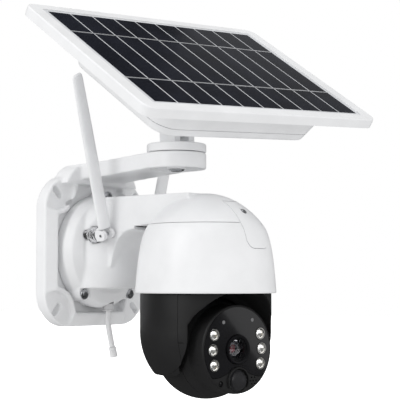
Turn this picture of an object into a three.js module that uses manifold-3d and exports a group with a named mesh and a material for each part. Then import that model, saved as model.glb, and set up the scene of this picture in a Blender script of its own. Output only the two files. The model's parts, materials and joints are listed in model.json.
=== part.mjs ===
// Solar-powered pan and tilt security camera on a square wall plate.
// Millimetres, +Z up. The wall is the plane y = 0 and the camera stands out from it
// towards -Y; the origin is the middle of the wall plate's back face.
import * as THREE from 'three';
import { mergeVertices } from 'three/addons/utils/BufferGeometryUtils.js';
import Module from 'manifold-3d';

const wasm = await Module();
wasm.setup();

// ---------------------------------------------------------------- driving dimensions
const GAP = 0.3;                  // clearance between two pieces that rest on each other
const RUN = 0.08;                 // radial running clearance of a shaft in its hole

const PLATE_HALF = 62.75;         // half the side of the square wall plate
const PLATE_CORNER = 30;          // corner radius of the plate
const PLATE_WALL = 11;            // height of its upright side
const PLATE_DEPTH = 15.9;         // height of its inner crest above the wall
const CREST_INSET = 10.3;         // how far the crest lies inside the side
const RECESS_FLOOR = 8;           // thickness of the plate under the camera base
const RECESS_WALL = 1.2;          // thin crest left round the recess
const SCREW_SLOT = [12, 5.5];     // length and width of a wall screw's slot

const ARM_REACH = 97.5;           // wall to the axis of the panel swivel
const ARM_HALF = 24.2;            // half width of the arm, and radius of its round end
const ARM_ROOT_HALF = 46;         // half width of the arm's root on the plate
const ARM_ROOT_TOP = PLATE_HALF + 10.25;
const ARM_ROOT_CORNER = 26;       // round shoulder of the root
const ARM_FLARE_HALF = 30;        // half width of the arm where it leaves the root
const ARM_BOTTOM = PLATE_HALF + 2.75;   // level end of the arm
const ARM_TOP = ARM_BOTTOM + 13.3;
const ARM_FALL = 7.4;             // how much lower the arm is at the wall than at its end
const DISC_HEIGHT = 7;            // swivel disc on top of the arm's end

const PIVOT_HEIGHT = ARM_TOP + 21.04;   // panel hinge axis above the origin
const PANEL_YAW = -7.07;          // how the panel stands at rest, degrees
const PANEL_TILT = 34.44;
const PANEL_ROLL = -4.01;
const PANEL_OFFSET = [-6.56, -11.69, 63.91];   // hinge axis to the middle of the glass face
const PANEL_HALF_X = 123.6;
const PANEL_HALF_Y = 83.5;
const PANEL_THICK = 8.5;
const PANEL_CORNER = 9;
const PANEL_RIM_X = 11.5;         // width of the frame beside the solar laminate
const PANEL_RIM_Y = 8.6;
const LAMINATE_THICK = 2;
const BOX_HALF = [80.5, 60];      // battery box, half sizes of its bottom
const BOX_FLARE = 7;              // how much wider it is where it meets the frame
const BOX_DEPTH = 26;
const BOX_WALL = 2.4;
const CELL_RADIUS = 9.1;
const CELL_LENGTH = 65;

const FLANGE_R = 47.5;            // round foot of the camera base
const FLANGE_FRONT = 24;          // distance of its front face from the wall
const FLANGE_DRAFT = 3.2;
const BASE_SCREWS = [[0, 47], [-28.7, -36], [28.7, -36]];
const LUG_R = 10;
const LUG_INSET = 0.88;           // lug's centre as a share of its screw's distance
const SCREW_SEAT_R = 5.4;
const BODY_HALF = 33;             // base body behind the neck
const BODY_FRONT = 50;
const BODY_BOTTOM = -31;
const NECK_TOP = 44.3;
const NECK_HALF = 22;
const NECK_BOTTOM = 17;
const SHELL = 2.4;                // wall of the white housings

const DOME_Y = 127.2;             // wall to the vertical pan axis
const SHROUD_BOTTOM = -34.5;
const SHROUD_R = 56;
const SEAM_Z = 19.8;
const SEAM_R = 45.4;
const CROWN_Z = 44.5;

const COVER_HALF = 13.3;          // card cover on the dome's front
const COVER_LOW = 0;
const COVER_HIGH = 37;
const COVER_SCREW = [37.2, 29.4]; // its screw: distance in front of the pan axis, and height
const PAN_REST = -14.5;           // heading of the camera head at rest, degrees
const YOKE_R = 52;
const YOKE_SPHERE_Z = -65;        // centre of the yoke's round underside
const YOKE_BOTTOM = -98;
const YOKE_TOP = -30;
const TILT_Z = -77.2;             // tilt axis
const HEAD_R = 40.3;              // round part of the camera head
const HEAD_SIDE = 34.2;           // half width of the head between the cheeks
const CAVITY_GAP = 1.2;           // head to yoke
const FACE_Y = 39.5;              // pan axis to the face
const WINDOW_THICK = 1.6;
const COLLAR_R = 34;              // straight collar round the face
const FACE_DEPTH = 3.6;
const HEAD_SPLIT = 14;            // front and rear shells meet this far before the tilt axis
const WINDOW_R = 32.3;
const OPENING_R = 46;             // round top of the yoke's front opening
const OPENING_HALF = 41.4;        // half width between the cheeks' straight front edges
const OPENING_BEVEL = 2.5;
const CHEEK_HALF = 24;            // half width of a cheek cover
const COVER_X = 41;               // inner face of a cheek cover
const LENS_R = 11.2;
const LED_R = 4.7;
const LED_PLACES = [[22.8, 11.5], [24.1, 0], [22.8, -11.5]];
const PIR_R = 8.4;
const PIR_Z = -23.8;              // below the lens
const SENSOR_PLACE = [-16.6, -25.6];
const SPEAKER_PLACE = [15.5, -24.4];
const AXLE_R = 5;

const TILT_MODULE = 1;
const PAN_MODULE = 1.3;
const PAN_TEETH = 38;
const TILT_TEETH = 20;
const PINION_TEETH = 12;
const GEAR_THICK = 4;
const TILT_THICK = 3;
const TILT_DISTANCE = (TILT_MODULE * (TILT_TEETH + PINION_TEETH)) / 2;
const TILT_POCKET_X = 38.4;       // floor of the gear's pocket in the left cheek
const TILT_POCKET_R = TILT_DISTANCE + TILT_MODULE * (PINION_TEETH / 2 + 1) + 0.8;

const ANTENNA_X = 30;             // antenna sockets on the base's shoulders
const ANTENNA_Z = 13;
const ANTENNA_LEAN = 15.5;        // degrees outwards at rest
const ANTENNA_LENGTH = 132;
const ANTENNA_WIDTH = 13;
const ANTENNA_THICK = 7;
const SOCKET_FRONT = 40;          // wall to the front of the socket
const SOCKET_R = 6.6;
const KNUCKLE_SWEEP = 8.6;        // room round the knuckle as it turns
const HINGE_OUT = 7.4;            // socket front to the antenna's hinge pin

const CORD_R = 2.4;
const CORD_ROUTE = [              // from the base's rim down to the plug
  [4.5, -20, -49.9], [4.5, -20, -52.1], [4.5, -20, -54.3], [4.4, -20, -56.5],
  [4.5, -20, -58.8], [4.6, -20.1, -61], [4.8, -20.2, -63.2], [5.1, -20.3, -65.4],
  [5.5, -20.4, -67.6], [5.9, -20.5, -69.7], [6.4, -20.7, -71.9], [6.9, -20.8, -74],
  [7.4, -20.9, -76.2], [7.9, -21, -78.3], [8.4, -21.1, -80.5],
];
const PLUG_LENGTH = 9;

const ROUND = 32;                 // sides of a large round, and of a small one
const SMALL = 16;

// ---------------------------------------------------------------- materials
const finish = (color, roughness, metalness = 0) =>
  new THREE.MeshStandardMaterial({ color, roughness, metalness });
const WHITE = finish(0xe9eaec, 0.42);
const BLACK = finish(0x1d1d1f, 0.45);
const GLOSS_BLACK = finish(0x08080a, 0.08);
const STEEL = finish(0xb9bcc0, 0.3, 1);
const NICKEL = finish(0xdcdde0, 0.22, 1);
const BOARD = finish(0x14532d, 0.6);
const SOLAR = finish(0x0a0b10, 0.12);
const LED_GLASS = finish(0xe8e6d8, 0.1);
const CELL_WRAP = finish(0x2b6cb0, 0.5);
const NYLON = finish(0xd8d4c8, 0.55);
const RUBBER = finish(0xd9dadc, 0.7);

// ---------------------------------------------------------------- shape helpers
const rad = THREE.MathUtils.degToRad;

// A closed mesh as a solid: shared corners merged, faces turned outwards.
function solid(geometry) {
  let g = geometry.clone();
  g.deleteAttribute('normal');
  g.deleteAttribute('uv');
  g = mergeVertices(g, 1e-4);
  const source = g.index.array;
  const triVerts = [];
  for (let i = 0; i < source.length; i += 3) {
    const [a, b, c] = [source[i], source[i + 1], source[i + 2]];
    if (a !== b && b !== c && c !== a) triVerts.push(a, b, c);
  }
  const p = g.attributes.position;
  const corner = [0, 1, 2].map(() => new THREE.Vector3());
  let volume = 0;
  for (let i = 0; i < triVerts.length; i += 3) {
    corner.forEach((v, k) => v.fromBufferAttribute(p, triVerts[i + k]));
    volume += corner[0].dot(corner[1].clone().cross(corner[2]));
  }
  if (volume < 0) triVerts.reverse();
  return new wasm.Manifold(new wasm.Mesh({
    numProp: 3,
    vertProperties: new Float32Array(p.array),
    triVerts: new Uint32Array(triVerts),
  }));
}

function geometryOf(manifold) {
  const mesh = manifold.getMesh();
  const g = new THREE.BufferGeometry();
  g.setAttribute('position', new THREE.BufferAttribute(mesh.vertProperties, 3));
  g.setIndex(new THREE.BufferAttribute(mesh.triVerts, 1));
  g.computeVertexNormals();
  return g;
}

const fuse = (...pieces) => geometryOf(pieces.map(solid).reduce((a, b) => a.add(b)));
const cut = (body, ...tools) =>
  geometryOf(tools.map(solid).reduce((a, b) => a.subtract(b), solid(body)));
const common = (a, b) => geometryOf(solid(a).intersect(solid(b)));

const box = (w, d, h, x = 0, y = 0, z = 0) => new THREE.BoxGeometry(w, d, h).translate(x, y, z);
// The box between two corners.
const block = (x0, x1, y0, y1, z0, z1) =>
  box(x1 - x0, y1 - y0, z1 - z0, (x0 + x1) / 2, (y0 + y1) / 2, (z0 + z1) / 2);
const ball = (r, sides = ROUND) => new THREE.SphereGeometry(r, sides, sides / 2);
// A cylinder along Z from z0 to z1.
const rodZ = (r, z0, z1, sides = SMALL) =>
  new THREE.CylinderGeometry(r, r, z1 - z0, sides).rotateX(Math.PI / 2)
    .translate(0, 0, (z0 + z1) / 2);
// Things built with their own z pointing out from the wall.
const toWall = (g) => g.rotateX(Math.PI / 2);
const rodOut = (r, y0, y1, sides = SMALL) => toWall(rodZ(r, y0, y1, sides));
const rodX = (r, x0, x1, sides = SMALL) => rodZ(r, x0, x1, sides).rotateY(Math.PI / 2);

// A turned piece about Z from [radius, height] points.
const turned = (points, sides = ROUND) =>
  new THREE.LatheGeometry(points.map(([r, z]) => new THREE.Vector2(r, z)), sides)
    .rotateX(Math.PI / 2);
const ringZ = (inner, outer, z0, z1, sides = ROUND) =>
  turned([[inner, z0], [outer, z0], [outer, z1], [inner, z1], [inner, z0]], sides);

// A rounded rectangle as a ring of points at height z.
function roundedRing(halfX, halfY, radius, z, steps = 5) {
  const ring = [];
  for (const [sx, sy, start] of [[1, 1, 0], [-1, 1, 90], [-1, -1, 180], [1, -1, 270]]) {
    for (let i = 0; i <= steps; i++) {
      const a = rad(start + (90 * i) / steps);
      ring.push([sx * (halfX - radius) + radius * Math.cos(a),
        sy * (halfY - radius) + radius * Math.sin(a), z]);
    }
  }
  return ring;
}

function ovalRing(halfX, halfY, z, sides, slope = 0) {
  return Array.from({ length: sides }, (_, i) => {
    const a = (2 * Math.PI * i) / sides;
    const x = halfX * Math.cos(a);
    return [x, halfY * Math.sin(a), z + slope * x];
  });
}

// A closed body through rings of equal length, lowest first, with flat convex ends.
function loft(rings) {
  const n = rings[0].length;
  const index = [];
  for (let k = 0; k + 1 < rings.length; k++) {
    for (let i = 0; i < n; i++) {
      const a = k * n + i;
      const b = k * n + ((i + 1) % n);
      index.push(a, b, b + n, a, b + n, a + n);
    }
  }
  const last = (rings.length - 1) * n;
  for (let i = 1; i + 1 < n; i++) {
    index.push(0, i + 1, i);
    index.push(last, last + i, last + i + 1);
  }
  const g = new THREE.BufferGeometry();
  g.setAttribute('position', new THREE.Float32BufferAttribute(rings.flat(2), 3));
  g.setIndex(index);
  return g;
}

function extrude(shape, depth, z0 = 0, curveSegments = 8) {
  return new THREE.ExtrudeGeometry(shape, { depth, bevelEnabled: false, curveSegments })
    .translate(0, 0, z0);
}

// A straight slot with round ends, along the direction of an angle.
function slotThrough(x, y, angle, [length, width], z0, z1) {
  const half = (length - width) / 2;
  const shape = new THREE.Shape()
    .absarc(half, 0, width / 2, -Math.PI / 2, Math.PI / 2)
    .absarc(-half, 0, width / 2, Math.PI / 2, 1.5 * Math.PI);
  return extrude(shape, z1 - z0, z0, 3).rotateZ(angle).translate(x, y, 0);
}

// A spur gear about Z with slim straight-sided teeth; a tooth lies on angle `start`.
function gear(teeth, module, z0, thick, start = 0) {
  const pitchR = (module * teeth) / 2;
  const pitch = (2 * Math.PI) / teeth;
  const shape = new THREE.Shape();
  for (let i = 0; i < teeth; i++) {
    const a = start + i * pitch;
    for (const [r, share] of [[-1.25, -0.27], [0.85, -0.1], [0.85, 0.1], [-1.25, 0.27]]) {
      const radius = pitchR + r * module;
      const angle = a + share * pitch;
      const point = [radius * Math.cos(angle), radius * Math.sin(angle)];
      if (i === 0 && share === -0.27) shape.moveTo(...point);
      else shape.lineTo(...point);
    }
  }
  shape.closePath();
  return extrude(shape, thick, z0);
}

// A pan-head screw along Z: head above z = 0, shank below, cross recess in the head.
function screw(headR, headH, shankR, shankL) {
  const body = turned([[0, -shankL], [shankR, -shankL], [shankR, 0], [headR, 0],
    [headR, headH * 0.55], [headR * 0.72, headH], [0, headH]], 12);
  const bar = (w, d) => block(-w, w, -d, d, headH * 0.45, headH + 1);
  return cut(body, bar(headR * 0.5, headR * 0.12), bar(headR * 0.12, headR * 0.5));
}

function named(name, geometry, material, parent) {
  const mesh = new THREE.Mesh(geometry, material);
  mesh.name = name;
  parent.add(mesh);
  return mesh;
}

const camera = new THREE.Group();

// ---------------------------------------------------------------- wall bracket
// One moulding: a square plate with four screw pockets, and the arm that carries the panel.
{
  const crest = PLATE_HALF - CREST_INSET;
  const plate = loft([
    roundedRing(PLATE_HALF, PLATE_HALF, PLATE_CORNER, 0, 6),
    roundedRing(PLATE_HALF, PLATE_HALF, PLATE_CORNER, PLATE_WALL, 6),
    roundedRing(crest, crest, PLATE_CORNER - CREST_INSET, PLATE_DEPTH, 6),
  ]);
  const pocketAt = PLATE_HALF - 10.7;
  const pocketR = 19;
  const ridge = 3.4;
  const recessHalf = crest - RECESS_WALL;
  const inside = block(-recessHalf, recessHalf, -recessHalf, recessHalf, RECESS_FLOOR, 40);
  const upper = block(-27.5, 27.5, 0, PLATE_HALF - 3.2, RECESS_FLOOR, 40);
  const corners = [[1, 1], [-1, 1], [-1, -1], [1, -1]];
  const at = (r, z0, z1) => corners.map(([sx, sy]) =>
    rodZ(r, z0, z1, 24).translate(sx * pocketAt, sy * pocketAt, 0));
  const recess = cut(fuse(inside, upper), ...at(pocketR + ridge, 0, 50));
  const slotAt = PLATE_HALF - 14.5;
  const wallSlots = corners.map(([sx, sy]) =>
    slotThrough(sx * slotAt, sy * slotAt, Math.atan2(sy, sx), SCREW_SLOT, -1, PLATE_DEPTH + 1));
  const keySlots = [-1, 1].map((s) =>
    slotThrough(s * 33.2, 40.6, s * rad(-39), [13, 5], -1, PLATE_DEPTH + 1));
  const base = toWall(cut(plate, recess, ...at(pocketR, PLATE_WALL, 50), ...wallSlots,
    ...keySlots));

  const waist = PLATE_DEPTH + 34;
  const outline = new THREE.Shape()
    .moveTo(-ARM_FLARE_HALF, -2)
    .lineTo(-ARM_FLARE_HALF, -PLATE_DEPTH)
    .quadraticCurveTo(-ARM_HALF, -PLATE_DEPTH - 8, -ARM_HALF, -waist)
    .lineTo(-ARM_HALF, -ARM_REACH)
    .absarc(0, -ARM_REACH, ARM_HALF, Math.PI, 2 * Math.PI)
    .lineTo(ARM_HALF, -waist)
    .quadraticCurveTo(ARM_HALF, -PLATE_DEPTH - 8, ARM_FLARE_HALF, -PLATE_DEPTH)
    .lineTo(ARM_FLARE_HALF, -2);
  // Side view of the arm (x out from the wall, y up): it rises outwards to a level end.
  const past = ARM_REACH + ARM_HALF + 5;
  const level = ARM_REACH - ARM_HALF / 3;
  const profile = new THREE.Shape()
    .moveTo(0, ARM_BOTTOM - ARM_FALL)
    .lineTo(level, ARM_BOTTOM)
    .lineTo(past, ARM_BOTTOM)
    .lineTo(past, ARM_TOP)
    .lineTo(level, ARM_TOP)
    .lineTo(0, ARM_TOP - ARM_FALL);
  const wide = ARM_ROOT_HALF + 5;
  const bar = common(
    extrude(outline, ARM_TOP, 20, 8),
    extrude(profile, 2 * wide, -wide).rotateX(Math.PI / 2).rotateZ(-Math.PI / 2));
  const root = loft([
    roundedRing(ARM_ROOT_HALF, ARM_ROOT_TOP, ARM_ROOT_CORNER, 0, 6),
    roundedRing(ARM_ROOT_HALF, ARM_ROOT_TOP, ARM_ROOT_CORNER, PLATE_DEPTH - 1, 6),
    roundedRing(ARM_ROOT_HALF - 2, ARM_ROOT_TOP - 2, ARM_ROOT_CORNER - 2, PLATE_DEPTH + 1, 6),
  ]);
  const rootBlock = common(toWall(root),
    block(-wide, wide, -40, 0, ARM_BOTTOM - ARM_FALL - 2, ARM_TOP));
  const under = ringZ(8, ARM_HALF - 3.4, ARM_BOTTOM - 1, ARM_BOTTOM + 4, 32)
    .translate(0, -ARM_REACH, 0);
  const bore = rodZ(4 + RUN, 0, 100, 24).translate(0, -ARM_REACH, 0);
  named('wall_bracket', cut(fuse(base, rootBlock, bar), under, bore), WHITE, camera);
}

// ---------------------------------------------------------------- camera base
// Round foot, body and hollow neck, moulded in one with the crown over the dome.
const crownCurve = new THREE.CubicBezierCurve(
  new THREE.Vector2(SEAM_R, SEAM_Z), new THREE.Vector2(SEAM_R - 9.4, SEAM_Z + 12.4),
  new THREE.Vector2(20, CROWN_Z), new THREE.Vector2(0, CROWN_Z));
const shroudCurve = new THREE.CubicBezierCurve(
  new THREE.Vector2(SHROUD_R, SHROUD_BOTTOM), new THREE.Vector2(SHROUD_R - 2.2, 0),
  new THREE.Vector2(SEAM_R + 5.2, SEAM_Z - 6.3), new THREE.Vector2(SEAM_R, SEAM_Z));
// The curve's points, moved inwards by an offset.
function inset(curve, steps, offset) {
  return curve.getPoints(steps).map((p, i) => {
    const t = curve.getTangent(i / steps);
    return [Math.max(p.x - offset * t.y, 0), p.y + offset * t.x];
  });
}
// Outline of the card cover, which lies on the dome's front across the seam: a prism to
// cut with, wider by a clearance all round.
function coverPrism(grow) {
  const wide = COVER_HALF + grow;
  const low = COVER_LOW - grow;
  const high = COVER_HIGH + grow;
  const shape = new THREE.Shape()
    .moveTo(-wide + 3.6, high)
    .lineTo(-wide, SEAM_Z - 2)
    .lineTo(-wide, low + 8)
    .quadraticCurveTo(-wide, low, -wide + 8, low)
    .lineTo(wide - 8, low)
    .quadraticCurveTo(wide, low, wide, low + 8)
    .lineTo(wide, SEAM_Z - 2)
    .lineTo(wide - 3.6, high)
    .closePath();
  return toWall(extrude(shape, 80, DOME_Y + 14, 4));
}
{
  const foot = loft([
    ovalRing(FLANGE_R, FLANGE_R, RECESS_FLOOR + GAP, ROUND),
    ovalRing(FLANGE_R, FLANGE_R, FLANGE_FRONT - 7, ROUND),
    ovalRing(FLANGE_R - FLANGE_DRAFT, FLANGE_R - FLANGE_DRAFT, FLANGE_FRONT, ROUND),
    ovalRing(FLANGE_R - 12, FLANGE_R - 12, FLANGE_FRONT + 4, ROUND),
  ]);
  const lugs = BASE_SCREWS.map(([x, z]) =>
    loft([ovalRing(LUG_R, LUG_R, RECESS_FLOOR + GAP, 20),
      ovalRing(LUG_R - 1.5, LUG_R - 1.5, FLANGE_FRONT - 2, 20)])
      .translate(x * LUG_INSET, z * LUG_INSET, 0));
  const seats = BASE_SCREWS.map(([x, z]) =>
    rodOut(SCREW_SEAT_R, FLANGE_FRONT - 2, BODY_FRONT).translate(x, 0, z));
  const holes = BASE_SCREWS.map(([x, z]) => rodOut(2.3, 0, 40, 12).translate(x, 0, z));
  const flange = toWall(fuse(foot, ...lugs));

  const plan = (half, front) => {
    const shape = new THREE.Shape();
    shape.moveTo(-half, 0);
    shape.lineTo(-half, -FLANGE_FRONT);
    shape.bezierCurveTo(-half, -FLANGE_FRONT - 9, -half + 9, -front, 0, -front);
    shape.bezierCurveTo(half - 9, -front, half, -FLANGE_FRONT - 9, half, -FLANGE_FRONT);
    shape.lineTo(half, 0);
    return shape;
  };
  // Front view of the body: flat below, with an arched top.
  const archway = (half, top, bottom) => {
    const shape = new THREE.Shape();
    shape.moveTo(-half, bottom);
    shape.lineTo(half, bottom);
    shape.lineTo(half, 8);
    shape.bezierCurveTo(half, 32, 22, top, 0, top);
    shape.bezierCurveTo(-22, top, -half, 32, -half, 8);
    shape.closePath();
    return shape;
  };
  const bodyShape = (thin, y0) => common(
    extrude(plan(BODY_HALF - thin, BODY_FRONT - thin), 200, -100, 6),
    toWall(extrude(archway(BODY_HALF - thin, NECK_TOP - thin, BODY_BOTTOM + thin), 90, y0, 6)));
  const bodyBlock = bodyShape(0, FLANGE_FRONT - 4);
  // Side view of the neck, drawn with x pointing out from the wall and y up.
  const side = (grow) => {
    const shape = new THREE.Shape();
    shape.moveTo(BODY_FRONT - 16, NECK_TOP - grow);
    shape.lineTo(DOME_Y, NECK_TOP - grow);
    shape.lineTo(DOME_Y, SEAM_Z + 5 + grow);
    shape.lineTo(DOME_Y - SEAM_R - 3, SEAM_Z + grow);
    shape.lineTo(BODY_FRONT + 20, NECK_BOTTOM + grow);
    shape.quadraticCurveTo(BODY_FRONT - grow, NECK_BOTTOM - 4 + grow, BODY_FRONT - 4 - grow,
      NECK_BOTTOM - 30 + grow);
    shape.lineTo(BODY_FRONT - 16, NECK_BOTTOM - 30 + grow);
    shape.closePath();
    return shape;
  };
  // Standing the drawing up: its x goes to -Y and its y to +Z, with its depth along X.
  const stand = (g) => g.rotateX(Math.PI / 2).rotateZ(-Math.PI / 2);
  const neckPrism = (half, grow) =>
    stand(extrude(side(grow), 2 * half, -half, 6));
  const crown = turned([[0, SEAM_Z], ...crownCurve.getPoints(6).map((p) => [p.x, p.y])])
    .translate(0, -DOME_Y, 0);
  const outer = fuse(flange, bodyBlock, neckPrism(NECK_HALF, 0), crown);

  const crownInside = turned([[0, SEAM_Z - 1], [SEAM_R - SHELL, SEAM_Z - 1],
    ...inset(crownCurve, 6, SHELL)]).translate(0, -DOME_Y, 0);
  const bodyInside = bodyShape(SHELL, 0);
  const neckInside = neckPrism(NECK_HALF - SHELL, SHELL);
  const sockets = [-1, 1].map((s) =>
    rodOut(4 + GAP, 10, 60).translate(s * ANTENNA_X, 0, ANTENNA_Z));
  const spots = [-1, 1].flatMap((s) => [
    rodOut(SOCKET_R + GAP, SOCKET_FRONT - 8 - GAP, 60).translate(s * ANTENNA_X, 0, ANTENNA_Z),
    rodOut(KNUCKLE_SWEEP, SOCKET_FRONT, 60).translate(s * ANTENNA_X, 0, ANTENNA_Z)]);
  const cordHole = rodZ(CORD_R + 1.6 + GAP, -80, -40).translate(CORD_ROUTE[0][0],
    CORD_ROUTE[0][1], 0);
  named('base_housing', cut(outer, crownInside, bodyInside, neckInside, coverPrism(GAP),
    ...sockets, ...spots, ...seats, ...holes, cordHole), WHITE, camera);

  BASE_SCREWS.forEach(([x, z], i) => {
    const g = toWall(screw(4.2, 2.6, 2.1, FLANGE_FRONT - RECESS_FLOOR - 3)
      .translate(x, z, FLANGE_FRONT - 2 + GAP));
    named(`base_screw_${['top', 'left', 'right'][i]}`, g, STEEL, camera);
  });
}

// ---------------------------------------------------------------- shroud and its inside
{
  const outer = shroudCurve.getPoints(5).map((p) => [p.x, p.y]);
  const inner = inset(shroudCurve, 5, SHELL).reverse();
  inner[0] = [SEAM_R - SHELL, SEAM_Z];
  inner[inner.length - 1] = [SHROUD_R - SHELL, SHROUD_BOTTOM];
  const wall = turned([...outer, ...inner, outer[0]]).translate(0, -DOME_Y, 0);
  const underSeam = block(-90, 90, -300, 0, -90, SEAM_Z - GAP);
  named('shroud', cut(common(wall, underSeam), coverPrism(GAP)), WHITE, camera);

  const crownShell = cut(
    turned([[0, SEAM_Z], ...crownCurve.getPoints(6).map((p) => [p.x, p.y])]),
    turned([[0, SEAM_Z - 1], [SEAM_R - SHELL, SEAM_Z - 1], ...inset(crownCurve, 6, SHELL)]))
    .translate(0, -DOME_Y, 0);
  const [out, up] = COVER_SCREW;
  const leaning = (g) => g.rotateX(rad(38)).translate(0, -DOME_Y - out, up);
  named('card_cover', cut(common(fuse(wall, crownShell), coverPrism(0)),
    leaning(rodZ(1.7, -9, 9, 12)), leaning(rodZ(2.9, -0.9, 9, 12))), WHITE, camera);
  named('card_cover_screw', leaning(screw(2.5, 1.1, 1.4, 5).translate(0, 0, -0.9 + GAP)), STEEL,
    camera);
}

const deck = new THREE.Group();
deck.position.set(0, -DOME_Y, 0);
camera.add(deck);
const DECK_Z = -17;               // pan deck, a plate across the inside of the shroud
const DECK_THICK = 3;
const NECK_R = 11;                // hollow neck of the yoke
const BEARING_R = 17;
const pinionAngle = rad(150);
const panDistance = (PAN_MODULE * (PAN_TEETH + PINION_TEETH)) / 2;
const pinionPlace = [panDistance * Math.cos(pinionAngle), panDistance * Math.sin(pinionAngle)];
const BOARD_Z = 4;
{
  const top = DECK_Z + DECK_THICK;
  const plate = rodZ(50.5, DECK_Z, top, ROUND);
  const posts = [30, 215, 300].map((a) =>
    rodZ(2.6, top - 1, BOARD_Z - GAP, 12).translate(38 * Math.cos(rad(a)), 38 * Math.sin(rad(a)), 0));
  const seat = rodZ(BEARING_R + GAP, DECK_Z - 9, top + 9, ROUND);
  const shaftHole = rodZ(3.4, DECK_Z - 9, top + 9).translate(...pinionPlace, 0);
  const raised = ringZ(BEARING_R - 1, BEARING_R + 4, top - 1, top + 3);
  named('pan_deck', cut(fuse(plate, ...posts, raised), seat, shaftHole), BLACK, deck);
  named('pan_bearing', ringZ(NECK_R + RUN, BEARING_R, DECK_Z, top + 3, 32), STEEL, deck);
  named('pan_motor', fuse(
    rodZ(10, top + GAP, top + 12, 24).translate(...pinionPlace, 0),
    rodZ(1.5, DECK_Z - 8, top + 1, 12).translate(...pinionPlace, 0)), STEEL, deck);
  const boardShape = cut(rodZ(42, BOARD_Z, BOARD_Z + 1.6, ROUND), rodZ(12, 0, 20, 24));
  named('main_board', boardShape, BOARD, deck);
  named('card_slot', block(-7, 7, -40, -25, BOARD_Z + 1.6 + GAP, BOARD_Z + 4), STEEL, deck);
  named('reset_button', block(9.4, 12.4, -43.5, -39, BOARD_Z + 2.2, BOARD_Z + 5.2), BLACK, deck);
}

// ---------------------------------------------------------------- yoke, turning on the pan axis
const pan = new THREE.Group();
pan.position.set(0, -DOME_Y, 0);
pan.rotation.z = rad(PAN_REST);
camera.add(pan);
{
  // A cylinder with a round underside.
  const round = (r) => turned([[0, YOKE_SPHERE_Z - r],
    ...Array.from({ length: 7 }, (_, i) => {
      const a = rad(-78 + 13 * i);
      return [r * Math.cos(a), YOKE_SPHERE_Z + r * Math.sin(a)];
    }), [r, YOKE_TOP - YOKE_R + r], [0, YOKE_TOP - YOKE_R + r]], 40);
  const outside = round(YOKE_R);
  const below = block(-80, 80, -80, 80, -200, YOKE_BOTTOM);
  const cheekIn = HEAD_SIDE + CAVITY_GAP;
  const cavity = common(ball(HEAD_R + CAVITY_GAP, 24).translate(0, 0, TILT_Z),
    block(-cheekIn, cheekIn, -90, 90, -200, 0));
  // Front opening with a round top, narrowing inwards to the head's width.
  const opening = common(
    turned([[0, 0], [cheekIn, 0], [cheekIn, 8], [OPENING_R - OPENING_BEVEL, 20],
      [OPENING_R, 34], [OPENING_R, 70], [0, 70]], 36).rotateX(Math.PI / 2)
      .translate(0, 0, TILT_Z),
    block(-OPENING_HALF, OPENING_HALF, -90, 1, -200, 0));
  // Room for the face to swing down between the cheeks.
  const swing = block(-cheekIn, cheekIn, -80, 0, -200, TILT_Z);
  // Side view of what is cut away in front of the cheeks' round ends (x out, y up).
  const cheekR = CHEEK_HALF + 7;
  const endZ = YOKE_BOTTOM + cheekR - 2;
  const sideCut = new THREE.Shape()
    .moveTo(cheekR, endZ)
    .absarc(0, endZ, cheekR, 0, -Math.PI / 2, true)
    .lineTo(0, -200)
    .lineTo(90, -200)
    .lineTo(90, endZ)
    .closePath();
  const chin = extrude(sideCut, 200, -100, 6).rotateX(Math.PI / 2).rotateZ(-Math.PI / 2);
  // Side view of a cheek cover: straight sides and a round lower end.
  const uShape = (half, low) => new THREE.Shape()
    .moveTo(-half, YOKE_TOP - 4)
    .lineTo(-half, low + half)
    .absarc(0, low + half, half, Math.PI, 2 * Math.PI)
    .lineTo(half, YOKE_TOP - 4);
  const uPrism = (half, low, x0, x1) =>
    extrude(uShape(half, low), x1 - x0, x0, 5).rotateX(Math.PI / 2).rotateZ(Math.PI / 2);
  const span = (s, x0, x1) => (s > 0 ? [x0, x1] : [-x1, -x0]);
  const seat = (s) => uPrism(CHEEK_HALF + GAP, YOKE_BOTTOM - 4, ...span(s, COVER_X, 80));
  const axleHole = rodX(AXLE_R + RUN, -80, 80, 20).translate(0, 0, TILT_Z);
  const gearPocket = rodX(TILT_POCKET_R, -TILT_POCKET_X, -HEAD_SIDE, 28).translate(0, 0, TILT_Z);
  const neck = rodZ(NECK_R, YOKE_TOP - 1, DECK_Z + DECK_THICK + 6, 32);
  const duct = rodZ(NECK_R - 3, TILT_Z, 40, 24);
  named('yoke_housing', cut(fuse(outside, neck), below, cavity, opening, swing, chin,
    seat(-1), seat(1), gearPocket, axleHole, duct), BLACK, pan);
  const inside = common(round(YOKE_R - SHELL), uPrism(CHEEK_HALF - SHELL, YOKE_BOTTOM + 4, -80, 80));
  for (const [name, s] of [['cheek_cover_left', -1], ['cheek_cover_right', 1]]) {
    const slice = uPrism(CHEEK_HALF, YOKE_BOTTOM - 4, ...span(s, COVER_X + GAP, 80));
    named(name, cut(common(outside, slice), below, inside), BLACK, pan);
  }
  // Pan gear round the neck, under the deck, and the nut that holds the neck in its bearing.
  const gearZ = DECK_Z - 7;
  named('pan_gear', cut(gear(PAN_TEETH, PAN_MODULE, gearZ, GEAR_THICK, pinionAngle - rad(PAN_REST)),
    rodZ(NECK_R + RUN, -80, 20, 32)), NYLON, pan);
  named('neck_nut', ringZ(NECK_R + RUN, NECK_R + 4, DECK_Z + DECK_THICK + 3 + GAP,
    DECK_Z + DECK_THICK + 6, 32), NYLON, pan);
  // The pan pinion turns on the motor's shaft.
  const pinion = gear(PINION_TEETH, PAN_MODULE, gearZ, GEAR_THICK,
    pinionAngle + Math.PI + Math.PI / PINION_TEETH);
  named('pan_pinion', cut(pinion, rodZ(1.5 + RUN, -80, 20, 12)).translate(...pinionPlace, 0),
    NYLON, deck);
}

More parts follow.
